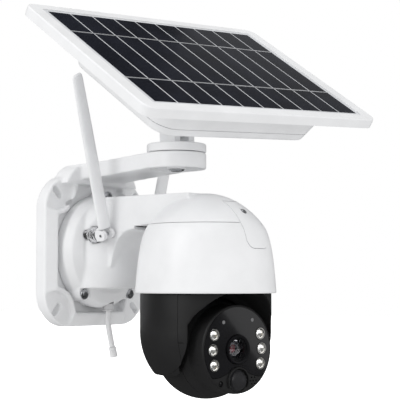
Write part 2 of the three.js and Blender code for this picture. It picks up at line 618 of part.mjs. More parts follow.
// ---------------------------------------------------------------- camera head, tilting in the yoke
const head = new THREE.Group();
head.position.set(0, 0, TILT_Z);
pan.add(head);
{
  // Outline of the head about its view axis: a ball with a straight collar at the front.
  const outline = (r, collarR, front, bevel) => {
    const join = Math.acos(collarR / r);
    const steps = 6;
    const arc = Array.from({ length: steps }, (_, i) => {
      const a = -Math.PI / 2 + ((join + Math.PI / 2) * (i + 1)) / steps;
      return [r * Math.cos(a), r * Math.sin(a)];
    });
    return [[0, -r], ...arc, [collarR, front - bevel], [collarR - bevel, front], [0, front]];
  };
  const faceOut = (g) => g.rotateX(Math.PI / 2);
  const sides = block(-HEAD_SIDE, HEAD_SIDE, -90, 90, -90, 90);
  const body = common(faceOut(turned(outline(HEAD_R, COLLAR_R, FACE_Y, 0.8), 36)), sides);
  const innerSides = block(-HEAD_SIDE + SHELL, HEAD_SIDE - SHELL, -90, 90, -90, 90);
  const hollow = common(faceOut(turned(outline(HEAD_R - SHELL, COLLAR_R - SHELL,
    FACE_Y - FACE_DEPTH, 0.2), 28)), innerSides);
  const shell = cut(body, hollow);
  const frontHalf = block(-90, 90, -90, -HEAD_SPLIT - GAP / 2, -90, 90);
  const rearHalf = block(-90, 90, -HEAD_SPLIT + GAP / 2, 90, -90, 90);

  // Glossy window over the upper face, with its lower edge arched over the motion sensor.
  const arch = PIR_R + 2.4;
  const side = rad(52);             // where the arch meets the lower edge, from its top
  const chinShape = (shrink) => {
    const r = arch - shrink;
    const [x, z] = [r * Math.sin(side), PIR_Z + r * Math.cos(side)];
    return new THREE.Shape()
      .moveTo(-40, -19 - shrink)
      .lineTo(-31, -19 - shrink)
      .quadraticCurveTo(-21, -25 - shrink, -x, z)
      .absarc(0, PIR_Z, r, Math.PI / 2 + side, Math.PI / 2 - side, true)
      .quadraticCurveTo(21, -25 - shrink, 31, -19 - shrink)
      .lineTo(40, -19 - shrink)
      .lineTo(40, -50)
      .lineTo(-40, -50)
      .closePath();
  };
  const chinBlock = (shrink) => faceOut(extrude(chinShape(shrink), 30, FACE_Y - 20, 6));
  const windowDisc = (r, y0, y1) => rodOut(r, y0, y1, 36);
  const ledSpots = LED_PLACES.flatMap(([x, z]) => [[-x, z], [x, z]]);
  const holes = (r, grow, z0 = FACE_Y - 12, z1 = FACE_Y + 9) =>
    ledSpots.map(([x, z]) => rodOut(r + grow, z0, z1, SMALL).translate(x, 0, z));
  const window = cut(windowDisc(WINDOW_R, FACE_Y - WINDOW_THICK, FACE_Y - 0.2),
    chinBlock(0), rodOut(LENS_R + GAP, 0, 90, 32), ...holes(LED_R, GAP));
  named('face_window', window, GLOSS_BLACK, head);
  const seat = cut(windowDisc(WINDOW_R + GAP, FACE_Y - WINDOW_THICK - GAP, FACE_Y + 5),
    chinBlock(GAP));
  const lensHole = rodOut(LENS_R + GAP, 0, 90, 32);
  const pirHole = rodOut(PIR_R + GAP, 20, 90, 24).translate(0, 0, PIR_Z);
  const sensorHole = rodOut(2 + GAP, 20, 90, 12).translate(SENSOR_PLACE[0], 0, SENSOR_PLACE[1]);
  const speakerHoles = [[0, 0], [3, 0], [-3, 0], [1.5, 2.5], [-1.5, 2.5], [1.5, -2.5], [-1.5, -2.5]]
    .map(([x, z]) => rodOut(0.7, 20, 90, 6).translate(SPEAKER_PLACE[0] + x, 0, SPEAKER_PLACE[1] + z));
  const axle = rodX(AXLE_R, -43.5, 43.5, 20);
  const inside = rodX(AXLE_R + 1, -HEAD_SIDE + 2, HEAD_SIDE - 2, 20);
  const wireWay = rodX(AXLE_R - 2, -60, 60, 16);
  const motorShaftHole = rodX(2.2, -HEAD_SIDE - 2, -20, 12).translate(0, 0, TILT_DISTANCE);
  named('head_front_shell', cut(common(shell, frontHalf), seat, lensHole, pirHole, sensorHole,
    ...holes(LED_R, GAP), ...speakerHoles), BLACK, head);
  named('head_rear_shell', cut(fuse(common(shell, rearHalf), cut(axle, inside)), wireWay,
    motorShaftHole), BLACK, head);

  const barrel = turned([[0, 22], [8, 22], [8, 30], [LENS_R, 30], [LENS_R, FACE_Y + 1.4],
    [LENS_R - 1.6, FACE_Y + 1.8], [LENS_R - 3.2, FACE_Y - 0.4], [7.6, FACE_Y - 3], [0, FACE_Y - 3]],
  24);
  named('lens_barrel', faceOut(barrel), BLACK, head);
  const glass = turned([[0, FACE_Y - 2.7], [6.8, FACE_Y - 2.7], [5, FACE_Y - 1.2],
    [2.6, FACE_Y - 0.4], [0, FACE_Y - 0.2]], 16);
  named('lens_glass', faceOut(glass), GLOSS_BLACK, head);
  ledSpots.forEach(([x, z], i) => {
    const cup = turned([[0, FACE_Y - 7], [LED_R, FACE_Y - 7], [LED_R, FACE_Y + 0.3],
      [LED_R - 0.8, FACE_Y + 0.3], [1.6, FACE_Y - 2.2], [0, FACE_Y - 1.4]], 12);
    named(`led_${i + 1}`, faceOut(cup).translate(x, 0, z), LED_GLASS, head);
  });
  const pir = turned([[0, FACE_Y - 4], [PIR_R, FACE_Y - 4], [PIR_R, FACE_Y],
    [PIR_R * 0.87, FACE_Y + PIR_R * 0.42], [PIR_R * 0.5, FACE_Y + PIR_R * 0.72],
    [0, FACE_Y + PIR_R * 0.84]], 20);
  named('motion_lens', faceOut(pir).translate(0, 0, PIR_Z), BLACK, head);
  named('light_sensor', rodOut(2, FACE_Y - 4, FACE_Y - 0.6, 12)
    .translate(SENSOR_PLACE[0], 0, SENSOR_PLACE[1]), GLOSS_BLACK, head);
  named('speaker', rodOut(5.4, FACE_Y - FACE_DEPTH - 4, FACE_Y - FACE_DEPTH - GAP, 16)
    .translate(15.4, 0, -21), STEEL, head);
  named('image_board', cut(block(-19, 19, -21, -19.6, -14, 21), rodOut(3, 0, 60, 12)), BOARD, head);
  // Tilt drive: a gear fixed in the left cheek, and a pinion driven from inside the head.
  named('tilt_motor', fuse(rodX(8, -27, -12, 20), rodX(1.5, -TILT_POCKET_X + GAP, -26, 12))
    .translate(0, 0, TILT_DISTANCE), STEEL, head);
  const standX = (g) => g.rotateY(Math.PI / 2);
  const gearX = -TILT_POCKET_X + GAP;
  named('tilt_gear', cut(standX(gear(TILT_TEETH, TILT_MODULE, 0, TILT_THICK, Math.PI)),
    rodX(AXLE_R + RUN, -20, 20, 20)).translate(gearX, 0, TILT_Z), NYLON, pan);
  named('tilt_pinion', cut(standX(gear(PINION_TEETH, TILT_MODULE, 0, TILT_THICK, Math.PI / PINION_TEETH)),
    rodX(1.5 + RUN, -20, 20, 12)).translate(gearX, 0, TILT_DISTANCE), NYLON, head);
}

// ---------------------------------------------------------------- antennas
for (const [name, s] of [['left', -1], ['right', 1]]) {
  const socket = ringZ(3, SOCKET_R, SOCKET_FRONT - 8, SOCKET_FRONT, 20);
  const stub = ringZ(3, 4, FLANGE_FRONT - 6, SOCKET_FRONT - 7.5, 20);
  named(`antenna_socket_${name}`, toWall(fuse(socket, stub)).translate(s * ANTENNA_X, 0, ANTENNA_Z),
    NICKEL, camera);
  const lean = new THREE.Group();
  lean.position.set(s * ANTENNA_X, -SOCKET_FRONT, ANTENNA_Z);
  lean.rotation.y = s * rad(ANTENNA_LEAN);
  camera.add(lean);
  const half = ANTENNA_WIDTH / 2;
  const thick = ANTENNA_THICK / 2;
  const tongue = 2.6;
  // Knuckle: a collar turning on the socket, with two ears for the blade's tongue.
  const collar = rodOut(5.6, GAP, 3.4, 24);
  const spigot = rodOut(3 - RUN, -7, 1, 20);
  const ears = cut(fuse(
    block(-half, half, -HINGE_OUT, -2.6, -4.4, 4.4),
    rodX(4.4, -half, half, 20).translate(0, -HINGE_OUT, 0)),
  block(-tongue - GAP, tongue + GAP, -20, -3.2, -20, 20));
  const pinHole = rodX(1.2 + RUN, -20, 20, 12).translate(0, -HINGE_OUT, 0);
  named(`antenna_knuckle_${name}`, cut(fuse(collar, spigot, ears), pinHole), WHITE, lean);
  const blade = new THREE.Group();
  blade.position.set(0, -HINGE_OUT, 0);
  lean.add(blade);
  named(`antenna_pin_${name}`, rodX(1.2, -half + 0.4, half - 0.4, 12), STEEL, blade);
  const paddle = loft([
    ovalRing(half * 0.94, thick * 0.94, 5.2, 16),
    ovalRing(half, thick, 9, 16),
    ovalRing(half * 0.96, thick * 0.9, ANTENNA_LENGTH * 0.6, 16),
    ovalRing(half * 0.86, thick * 0.72, ANTENNA_LENGTH - 4, 16, -s * 0.25),
    ovalRing(half * 0.6, thick * 0.5, ANTENNA_LENGTH, 16, -s * 0.25),
  ]);
  const tab = fuse(block(-tongue, tongue, -thick, thick, 0, 7), rodX(thick, -tongue, tongue, 16));
  named(`antenna_blade_${name}`, cut(fuse(paddle, tab), rodX(1.2 + RUN, -20, 20, 12)), WHITE,
    blade);
}

// ---------------------------------------------------------------- supply lead
const gland = turned([[0, -50.2], [CORD_R + 2.4, -50.2], [CORD_R + 2.4, -48.9],
  [CORD_R + 1.6, -48.9], [CORD_R + 1.6, -44], [0, -44]], 20);
named('cable_grommet', cut(gland, rodZ(CORD_R + GAP, -80, -49.6)).translate(CORD_ROUTE[0][0],
  CORD_ROUTE[0][1], 0), RUBBER, camera);
{
  const curve = new THREE.CatmullRomCurve3(CORD_ROUTE.map((p) => new THREE.Vector3(...p)));
  const section = new THREE.Shape().absarc(0, 0, CORD_R, 0, 2 * Math.PI);
  const cord = new THREE.ExtrudeGeometry(section, {
    steps: 14, curveSegments: 4, bevelEnabled: false, extrudePath: curve });
  named('pigtail_cord', cord, WHITE, camera);
  const end = curve.getPoint(1);
  const way = curve.getTangent(1);
  const plug = ringZ(1.2, CORD_R + 0.9, GAP, PLUG_LENGTH, 20);
  const core = rodZ(CORD_R, GAP, PLUG_LENGTH * 0.5, 20);
  const turn = new THREE.Quaternion().setFromUnitVectors(new THREE.Vector3(0, 0, 1), way);
  named('pigtail_plug', fuse(plug, core).applyQuaternion(turn).translate(...end.toArray()), WHITE,
    camera);
}

// ---------------------------------------------------------------- panel swivel and hinge
const panel = new THREE.Group();
const EAR_THICK = 6;
const TONGUE_THICK = 9;
const HINGE_BOLT_R = 3;
{
  const hinge = new THREE.Group();
  hinge.position.set(0, -ARM_REACH, PIVOT_HEIGHT);
  hinge.rotation.set(rad(PANEL_TILT), rad(PANEL_ROLL), rad(PANEL_YAW), 'ZXY');
  camera.add(hinge);
  panel.position.set(...PANEL_OFFSET);
  hinge.add(panel);

  // The hinge axis, and the upright bracket under it.
  const axis = new THREE.Vector3(1, 0, 0).applyEuler(hinge.rotation);
  const alongAxis = new THREE.Quaternion().setFromUnitVectors(new THREE.Vector3(1, 0, 0), axis);
  const place = (g) => g.applyQuaternion(alongAxis).translate(0, -ARM_REACH, PIVOT_HEIGHT);
  const discTop = ARM_TOP + GAP + DISC_HEIGHT;
  const disc = turned([[0, ARM_TOP + GAP], [ARM_HALF, ARM_TOP + GAP],
    [ARM_HALF, discTop - 1.2], [ARM_HALF - 1.2, discTop], [0, discTop]])
    .translate(0, -ARM_REACH, 0);
  const foot = discTop - PIVOT_HEIGHT;
  const outerX = TONGUE_THICK / 2 + GAP + EAR_THICK;
  const ear = (s) => {
    const [x0, x1] = s > 0 ? [outerX - EAR_THICK, outerX] : [-outerX, -outerX + EAR_THICK];
    return place(fuse(block(x0, x1, -9, 9, foot - 2, 0), rodX(9, x0, x1, 20)));
  };
  const boltHole = place(rodX(HINGE_BOLT_R + RUN, -60, 60));
  const screwHole = rodZ(2.6, 60, 200).translate(0, -ARM_REACH, 0);
  named('swivel_bracket', cut(fuse(disc, ear(1), ear(-1)), boltHole, screwHole), WHITE, camera);
  const pivotScrew = turned([[0, ARM_BOTTOM - 1.4], [5.4, ARM_BOTTOM - 1.4], [6.4, ARM_BOTTOM - GAP],
    [4, ARM_BOTTOM - GAP], [4, ARM_TOP - 0.2], [2.4, ARM_TOP - 0.2], [2.4, discTop - 1],
    [0, discTop - 1]], 24).translate(0, -ARM_REACH, 0);
  named('swivel_screw', pivotScrew, STEEL, camera);
  named('hinge_bolt', fuse(rodX(HINGE_BOLT_R, -outerX - 1, outerX + 3),
    rodX(5.2, outerX + GAP, outerX + 4, 6), rodX(5, -outerX - 4, -outerX - GAP)), STEEL, hinge);
  const tongueTop = PANEL_OFFSET[2] - BOX_DEPTH - PANEL_THICK - GAP;
  const half = TONGUE_THICK / 2;
  const boxPlate = block(-24, 24, -20, 20, tongueTop - 3.5, tongueTop);
  const tongue = fuse(boxPlate, block(-half, half, -8, 8, 0, tongueTop - 1), rodX(8, -half, half, 24));
  named('panel_hinge', cut(tongue, rodX(HINGE_BOLT_R + RUN, -20, 20)), WHITE, hinge);
}

// ---------------------------------------------------------------- solar panel and battery box
{
  const back = -PANEL_THICK;
  const frame = loft([
    roundedRing(PANEL_HALF_X - 1.2, PANEL_HALF_Y - 1.2, PANEL_CORNER - 1, back),
    roundedRing(PANEL_HALF_X, PANEL_HALF_Y, PANEL_CORNER, back + 1.4),
    roundedRing(PANEL_HALF_X, PANEL_HALF_Y, PANEL_CORNER, -0.8),
    roundedRing(PANEL_HALF_X - 0.8, PANEL_HALF_Y - 0.8, PANEL_CORNER - 0.8, 0),
  ]);
  const glassX = PANEL_HALF_X - PANEL_RIM_X;
  const glassY = PANEL_HALF_Y - PANEL_RIM_Y;
  const tray = block(-glassX, glassX, -glassY, glassY, -LAMINATE_THICK - 2 * GAP, 5);
  const wires = rodZ(4, -40, 5, 12);
  named('panel_frame', cut(frame, tray, wires), WHITE, panel);
  named('solar_laminate', block(-glassX + GAP, glassX - GAP, -glassY + GAP, glassY - GAP,
    -LAMINATE_THICK - GAP, -GAP), SOLAR, panel);
  const top = back - GAP;
  const bottom = back - BOX_DEPTH;
  const [hx, hy] = BOX_HALF;
  const shell = loft([
    roundedRing(hx - 3, hy - 3, 14, bottom),
    roundedRing(hx, hy, 16, bottom + 3),
    roundedRing(hx + BOX_FLARE, hy + BOX_FLARE, 16, top),
  ]);
  const inner = loft([
    roundedRing(hx - BOX_WALL, hy - BOX_WALL, 14, bottom + BOX_WALL),
    roundedRing(hx + BOX_FLARE - BOX_WALL, hy + BOX_FLARE - BOX_WALL, 14, top + 1),
  ]);
  named('battery_box', cut(shell, inner), WHITE, panel);
  const floor = bottom + BOX_WALL + GAP;
  for (let i = 0; i < 3; i++) {
    const cell = rodX(CELL_RADIUS, -CELL_LENGTH / 2, CELL_LENGTH / 2, 20)
      .translate(-20, (i - 1) * (2 * CELL_RADIUS + 1), floor + CELL_RADIUS);
    named(`battery_cell_${i + 1}`, cell, CELL_WRAP, panel);
  }
  named('charge_board', block(28, 58, -22, 22, floor + 3, floor + 4.6), BOARD, panel);
}

export default camera;
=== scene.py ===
import json
import math

import bmesh
import bpy
from mathutils import Matrix, Vector


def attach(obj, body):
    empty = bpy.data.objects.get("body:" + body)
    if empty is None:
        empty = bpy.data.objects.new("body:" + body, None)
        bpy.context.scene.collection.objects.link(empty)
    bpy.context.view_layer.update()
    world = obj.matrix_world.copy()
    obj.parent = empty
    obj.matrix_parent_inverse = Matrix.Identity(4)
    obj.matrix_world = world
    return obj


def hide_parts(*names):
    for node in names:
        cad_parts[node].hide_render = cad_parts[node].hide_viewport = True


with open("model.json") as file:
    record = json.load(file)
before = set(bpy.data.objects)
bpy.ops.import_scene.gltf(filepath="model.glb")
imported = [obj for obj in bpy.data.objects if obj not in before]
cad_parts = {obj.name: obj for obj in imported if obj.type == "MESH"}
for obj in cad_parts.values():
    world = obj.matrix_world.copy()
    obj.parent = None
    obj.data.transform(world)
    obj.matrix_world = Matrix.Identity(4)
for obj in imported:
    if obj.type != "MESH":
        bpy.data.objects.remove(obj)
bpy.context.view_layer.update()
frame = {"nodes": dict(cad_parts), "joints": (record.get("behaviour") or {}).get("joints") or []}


# ---------------------------------------------------------------- studio
# A white studio: a pale matt floor, even white light all round, a tall softbox on the
# camera's left, wide ones in front and above, and two small ones whose gloss lies on the
# panel's glass and on the camera's face.
scene = bpy.context.scene
scene.view_settings.view_transform = "Standard"


def linked(obj):
    scene.collection.objects.link(obj)
    return obj


FOCAL_LENGTH = 108
SENSOR_WIDTH = 36
CAMERA_PLACE = (-0.76032, -0.70367, -0.02613)
CAMERA_PITCH = 93.93
CAMERA_HEADING = -52.56
lens = bpy.data.cameras.new("studio_camera")
lens.lens = FOCAL_LENGTH
lens.sensor_width = SENSOR_WIDTH
camera = linked(bpy.data.objects.new("studio_camera", lens))
camera.location = CAMERA_PLACE
camera.rotation_euler = (math.radians(CAMERA_PITCH), 0, math.radians(CAMERA_HEADING))
scene.camera = camera

world = bpy.data.worlds.new("white_studio")
scene.world = world
world.use_nodes = True
room = world.node_tree


def surround(strength):
    light = room.nodes.new("ShaderNodeBackground")
    light.inputs["Color"].default_value = (1, 1, 1, 1)
    light.inputs["Strength"].default_value = strength
    return light.outputs[0]


def chosen(ray, usual, other):
    """One surround for most rays, and another for one kind of ray."""
    mix = room.nodes.new("ShaderNodeMixShader")
    room.links.new(seen.outputs[ray], mix.inputs["Fac"])
    room.links.new(usual, mix.inputs[1])
    room.links.new(other, mix.inputs[2])
    return mix.outputs[0]


# The walls light the object evenly, but polished parts see them dark, as behind flags.
seen = room.nodes.new("ShaderNodeLightPath")
WALL_LIGHT = 0.9
WALL_GLOSS = 0.07
lit = chosen("Is Glossy Ray", surround(WALL_LIGHT), surround(WALL_GLOSS))
room.links.new(chosen("Is Camera Ray", lit, surround(1.0)),
               room.nodes["World Output"].inputs["Surface"])


def softbox(name, place, aim, width, height, power, gloss=True, roll=0):
    lamp = bpy.data.lights.new(name, "AREA")
    lamp.shape = "RECTANGLE"
    lamp.size = width
    lamp.size_y = height
    lamp.energy = power
    obj = linked(bpy.data.objects.new(name, lamp))
    aimed = (Vector(aim) - Vector(place)).to_track_quat("-Z", "Y").to_matrix().to_4x4()
    obj.matrix_world = Matrix.Translation(place) @ aimed @ Matrix.Rotation(
        math.radians(roll), 4, "Z")
    obj.visible_glossy = gloss


OBJECT_MIDDLE = (0, -0.13, 0.0)
softbox("key_left", (-1.0, 0.1, 0.5), OBJECT_MIDDLE, 0.35, 0.9, 3.4)
softbox("front_wide", (-0.2, -1.3, 0.5), OBJECT_MIDDLE, 0.9, 0.9, 2.8, gloss=False)
softbox("top_wide", (0, -0.2, 1.3), OBJECT_MIDDLE, 0.9, 0.9, 1.4, gloss=False)
softbox("panel_sheen", (1.3, 0.35, 0.95), (0.04, -0.14, 0.14), 0.5, 0.5, 0.3, roll=30)
softbox("face_sheen", (0.62, -1.25, 0.12), (0.01, -0.17, -0.06), 0.45, 0.5, 0.35, roll=35)

FLOOR_Z = -0.45
FLOOR_HALF = 12
floor_shape = bmesh.new()
bmesh.ops.create_grid(floor_shape, x_segments=1, y_segments=1, size=FLOOR_HALF)
bmesh.ops.translate(floor_shape, verts=floor_shape.verts, vec=(0, 0, FLOOR_Z))
floor_mesh = bpy.data.meshes.new("floor")
floor_shape.to_mesh(floor_mesh)
floor_shape.free()
floor = linked(bpy.data.objects.new("floor", floor_mesh))
floor_paint = bpy.data.materials.new("pale_floor")
floor_paint.use_nodes = True
floor_shader = floor_paint.node_tree.nodes["Principled BSDF"]
floor_shader.inputs["Base Color"].default_value = (0.95, 0.95, 0.95, 1)
floor_shader.inputs["Roughness"].default_value = 0.9
floor_shader.inputs["Emission Color"].default_value = (1, 1, 1, 1)
floor_shader.inputs["Emission Strength"].default_value = 1.0
floor_mesh.materials.append(floor_paint)
floor.visible_diffuse = False
floor.visible_glossy = False


# ---------------------------------------------------------------- supply lead
# A short white PVC pigtail, moulded in one length with its barrel connector, which leaves
# the base through a rubber grommet and hangs under its own weight.
def finish(name, tint, roughness, metallic=0.0, sockets=()):
    """A material whose even values stand on the shader's own sockets."""
    material = bpy.data.materials.new(name)
    material.use_nodes = True
    shader = material.node_tree.nodes["Principled BSDF"]
    shader.inputs["Base Color"].default_value = (*tint, 1)
    shader.inputs["Roughness"].default_value = roughness
    shader.inputs["Metallic"].default_value = metallic
    for socket, value in sockets:
        shader.inputs[socket].default_value = value
    material.diffuse_color = (*tint, 1)
    return material


def shader_node(tree, kind, *sockets):
    made = tree.nodes.new("ShaderNode" + kind)
    for socket, value in sockets:
        made.inputs[socket].default_value = value
    return made


def grained(material, size, depth, mottle=0.03, gloss=0.05, stretch=(1, 1, 1)):
    """Mould or mill grain: fine bumps of a size in millimetres, with the tint and the
    roughness drifting a little over wider patches."""
    tree = material.node_tree
    shader = tree.nodes["Principled BSDF"]
    tint = tuple(shader.inputs["Base Color"].default_value)
    rough = shader.inputs["Roughness"].default_value
    where = shader_node(tree, "TexCoord")
    turn = shader_node(tree, "Mapping", ("Scale", stretch))
    tree.links.new(where.outputs["Object"], turn.inputs["Vector"])
    fine = shader_node(tree, "TexNoise", ("Scale", 1000 / size), ("Detail", 2))
    wide = shader_node(tree, "TexNoise", ("Scale", 45), ("Detail", 4))
    for noise in (fine, wide):
        tree.links.new(turn.outputs["Vector"], noise.inputs["Vector"])
    bump = shader_node(tree, "Bump", ("Strength", 0.5), ("Distance", depth * 0.001))
    tree.links.new(fine.outputs["Fac"], bump.inputs["Height"])
    tree.links.new(bump.outputs["Normal"], shader.inputs["Normal"])
    ramp = shader_node(tree, "ValToRGB")
    for stop, share in zip(ramp.color_ramp.elements, (1 - mottle, 1 + mottle)):
        stop.color = (*[min(c * share, 1) for c in tint[:3]], 1)
    ramp.color_ramp.elements[0].position = 0.3
    ramp.color_ramp.elements[1].position = 0.7
    tree.links.new(wide.outputs["Fac"], ramp.inputs["Fac"])
    tree.links.new(ramp.outputs["Color"], shader.inputs["Base Color"])
    spread = shader_node(tree, "MapRange", ("From Min", 0.3), ("From Max", 0.7),
                         ("To Min", max(rough - gloss, 0.02)), ("To Max", min(rough + gloss, 1)))
    tree.links.new(wide.outputs["Fac"], spread.inputs["Value"])
    tree.links.new(spread.outputs["Result"], shader.inputs["Roughness"])
    return material


pvc = grained(finish("white_pvc", (0.80, 0.80, 0.81), 0.42), 0.35, 0.02)
rubber = grained(finish("grey_rubber", (0.66, 0.66, 0.67), 0.62), 0.3, 0.03)

TO_METRES = Matrix.Scale(0.001, 4)


def piece(name, shape, material, body, slot, *nodes, place=Matrix(), sharp=38):
    """Turns a shape in millimetres into a finished piece in metres that rides on a body
    and stands for its CAD nodes."""
    for face in shape.faces:
        face.smooth = True
    mesh = bpy.data.meshes.new(name)
    shape.to_mesh(mesh)
    shape.free()
    mesh.transform(TO_METRES @ place)
    if place.determinant() < 0:
        mesh.flip_normals()
    mesh.set_sharp_from_angle(angle=math.radians(sharp))
    for paint in material if isinstance(material, list) else [material]:
        mesh.materials.append(paint)
    obj = linked(bpy.data.objects.new(name, mesh))
    level = obj.modifiers.new("level_shading", "WEIGHTED_NORMAL")
    level.keep_sharp = True
    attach(obj, body)
    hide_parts(*nodes)
    return obj


def turned(profile, steps=96):
    """A shape turned about Z from [radius, height] points, as on a lathe."""
    shape = bmesh.new()
    corners = [shape.verts.new((r, 0, z)) for r, z in profile]
    edges = [shape.edges.new(pair) for pair in zip(corners, corners[1:])]
    bmesh.ops.spin(shape, geom=corners + edges, cent=(0, 0, 0), axis=(0, 0, 1),
                   angle=math.tau, steps=steps, use_merge=True)
    bmesh.ops.remove_doubles(shape, verts=shape.verts, dist=1e-4)
    bmesh.ops.recalc_face_normals(shape, faces=shape.faces)
    return shape


def moved(shape, x=0.0, y=0.0, z=0.0):
    bmesh.ops.translate(shape, verts=shape.verts, vec=(x, y, z))
    return shape


CORD_R = 0.0024
CORD_ROUTE = [(0.0045, -0.0200, -0.0499), (0.0045, -0.0200, -0.0521), (0.0045, -0.0200, -0.0543),
              (0.0044, -0.0200, -0.0565), (0.0045, -0.0200, -0.0588), (0.0046, -0.0201, -0.0610),
              (0.0048, -0.0202, -0.0632), (0.0051, -0.0203, -0.0654), (0.0055, -0.0204, -0.0676),
              (0.0059, -0.0205, -0.0697), (0.0064, -0.0207, -0.0719), (0.0069, -0.0208, -0.0740),
              (0.0074, -0.0209, -0.0762), (0.0079, -0.0210, -0.0783), (0.0084, -0.0211, -0.0805)]
line = bpy.data.curves.new("pigtail_cord", "CURVE")
line.dimensions = "3D"
line.bevel_depth = CORD_R
line.bevel_resolution = 6
line.resolution_u = 12
line.use_fill_caps = True
spline = line.splines.new("BEZIER")
spline.bezier_points.add(len(CORD_ROUTE) - 1)
for knot, point in zip(spline.bezier_points, CORD_ROUTE):
    knot.co = point
    knot.handle_left_type = "AUTO"
    knot.handle_right_type = "AUTO"
line.materials.append(pvc)
pigtail = linked(bpy.data.objects.new("pigtail_lead", line))
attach(pigtail, "mount")
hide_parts("pigtail_cord")

PLUG_R = 3.3
PLUG_LENGTH = 9
sleeve = turned([[0, 0.3], [2.7, 0.3], [PLUG_R - 0.2, 0.9], [PLUG_R, 1.6], [PLUG_R, 2.2],
                 [PLUG_R - 0.35, 2.5], [PLUG_R - 0.35, 3.0], [PLUG_R, 3.3], [PLUG_R, 3.9],
                 [PLUG_R - 0.35, 4.2], [PLUG_R - 0.35, 4.7], [PLUG_R, 5.0],
                 [PLUG_R, PLUG_LENGTH - 0.4], [PLUG_R - 0.4, PLUG_LENGTH],
                 [1.6, PLUG_LENGTH], [1.2, PLUG_LENGTH - 0.4], [1.2, PLUG_LENGTH * 0.5],
                 [0, PLUG_LENGTH * 0.5]], 48)
end = Vector(CORD_ROUTE[-1])
way = (end - Vector(CORD_ROUTE[-2])).to_track_quat("Z", "Y").to_matrix().to_4x4()
plug = piece("lead_connector", sleeve, pvc, "mount", "white_plastic", "pigtail_plug",
             place=Matrix.Translation(end * 1000) @ way)
gland = turned([[2.7, -50.2], [4.2, -50.2], [4.8, -49.8], [4.8, -49.2], [4.0, -48.9],
                [4.0, -44], [2.7, -44], [2.7, -50.2]], 48)
grommet = piece("lead_grommet", gland, rubber, "mount", "soft_rubber", "cable_grommet",
                place=Matrix.Translation((CORD_ROUTE[0][0] * 1000,
                                          CORD_ROUTE[0][1] * 1000, 0)))


# ---------------------------------------------------------------- wall bracket
# One white ABS moulding: a square plate with four screw pockets, screwed flat to the
# wall, and the long arm at its top that carries the solar panel's swivel.
white = grained(finish("moulded_white", (0.80, 0.805, 0.815), 0.36), 0.45, 0.02)

TO_WALL = Matrix.Rotation(math.pi / 2, 4, "X")
PLATE_HALF = 62.75
PLATE_CORNER = 30
PLATE_WALL = 11
PLATE_DEPTH = 15.9
CREST_INSET = 10.3
RECESS_FLOOR = 8
POCKET_R = 19
POCKET_INSET = 10.7
RIDGE = 3.4
RECESS_WALL = 1.2
RECESS_CORNER = 4
RECESS_UP_HALF = 27.5
KEY_PLACE = (33.2, 40.6)
KEY_TURN = 39
KEY_SIZE = (13, 5)
SLOT_INSET = 14.5
SLOT_LENGTH = 12
SLOT_WIDTH = 5.5
ARM_REACH = 97.5
ARM_HALF = 24.2
ROOT_HALF = 46
ROOT_TOP = 73
ROOT_CORNER = 26
FLARE_HALF = 30
ARM_END_SEAT = 3.4
ARM_TOP = 78.8
ARM_BOTTOM = 65.5


def lifted(shape, height):
    """Pulls the shape's flat outline up into a block."""
    grown = bmesh.ops.extrude_face_region(shape, geom=shape.faces[:])
    top = [v for v in grown["geom"] if isinstance(v, bmesh.types.BMVert)]
    bmesh.ops.translate(shape, verts=top, vec=(0, 0, height))
    bmesh.ops.recalc_face_normals(shape, faces=shape.faces)
    return shape


def rounded_block(half_x, half_y, corner, z0, z1, segments=12):
    shape = bmesh.new()
    bmesh.ops.create_grid(shape, x_segments=1, y_segments=1, size=1)
    bmesh.ops.scale(shape, verts=shape.verts, vec=(half_x, half_y, 1))
    if corner:
        bmesh.ops.bevel(shape, geom=shape.verts[:], offset=corner, offset_type="OFFSET",
                        affect="VERTICES", segments=segments, profile=0.5, material=-1)
    return lifted(moved(shape, z=z0), z1 - z0)


def rod(radius, z0, z1, steps=48, top_radius=None):
    shape = bmesh.new()
    bmesh.ops.create_cone(shape, cap_ends=True, segments=steps, radius1=radius,
                          radius2=radius if top_radius is None else top_radius,
                          depth=z1 - z0)
    return moved(shape, z=(z0 + z1) / 2)


def block(x0, x1, y0, y1, z0, z1):
    shape = rounded_block((x1 - x0) / 2, (y1 - y0) / 2, 0, z0, z1)
    return moved(shape, (x0 + x1) / 2, (y0 + y1) / 2)


def outline_block(points, z0, z1):
    """A block with the given outline, drawn in x and y."""
    shape = bmesh.new()
    shape.faces.new([shape.verts.new((x, y, z0)) for x, y in points])
    return lifted(shape, z1 - z0)


def turned_to(shape, matrix):
    bmesh.ops.transform(shape, matrix=matrix, verts=shape.verts)
    return shape


def arc(x, y, radius, start, stop, steps=16):
    """Points on a circle's arc between two angles in degrees."""
    angles = [math.radians(start + (stop - start) * i / steps) for i in range(steps + 1)]
    return [(x + radius * math.cos(a), y + radius * math.sin(a)) for a in angles]


def slot_block(x, y, angle, length, width, z0, z1):
    half = (length - width) / 2
    shape = outline_block(arc(half, 0, width / 2, -90, 90) +
                          arc(-half, 0, width / 2, 90, 270), z0, z1)
    return turned_to(shape, Matrix.Translation((x, y, 0)) @ Matrix.Rotation(angle, 4, "Z"))


def as_object(shape):
    mesh = bpy.data.meshes.new("stock")
    shape.to_mesh(mesh)
    shape.free()
    return linked(bpy.data.objects.new("stock", mesh))


def settled(obj):
    """The object's shape with its modifiers worked in, as a bmesh."""
    shape = bmesh.new()
    shape.from_object(obj, bpy.context.evaluated_depsgraph_get())
    bpy.data.objects.remove(obj)
    return shape


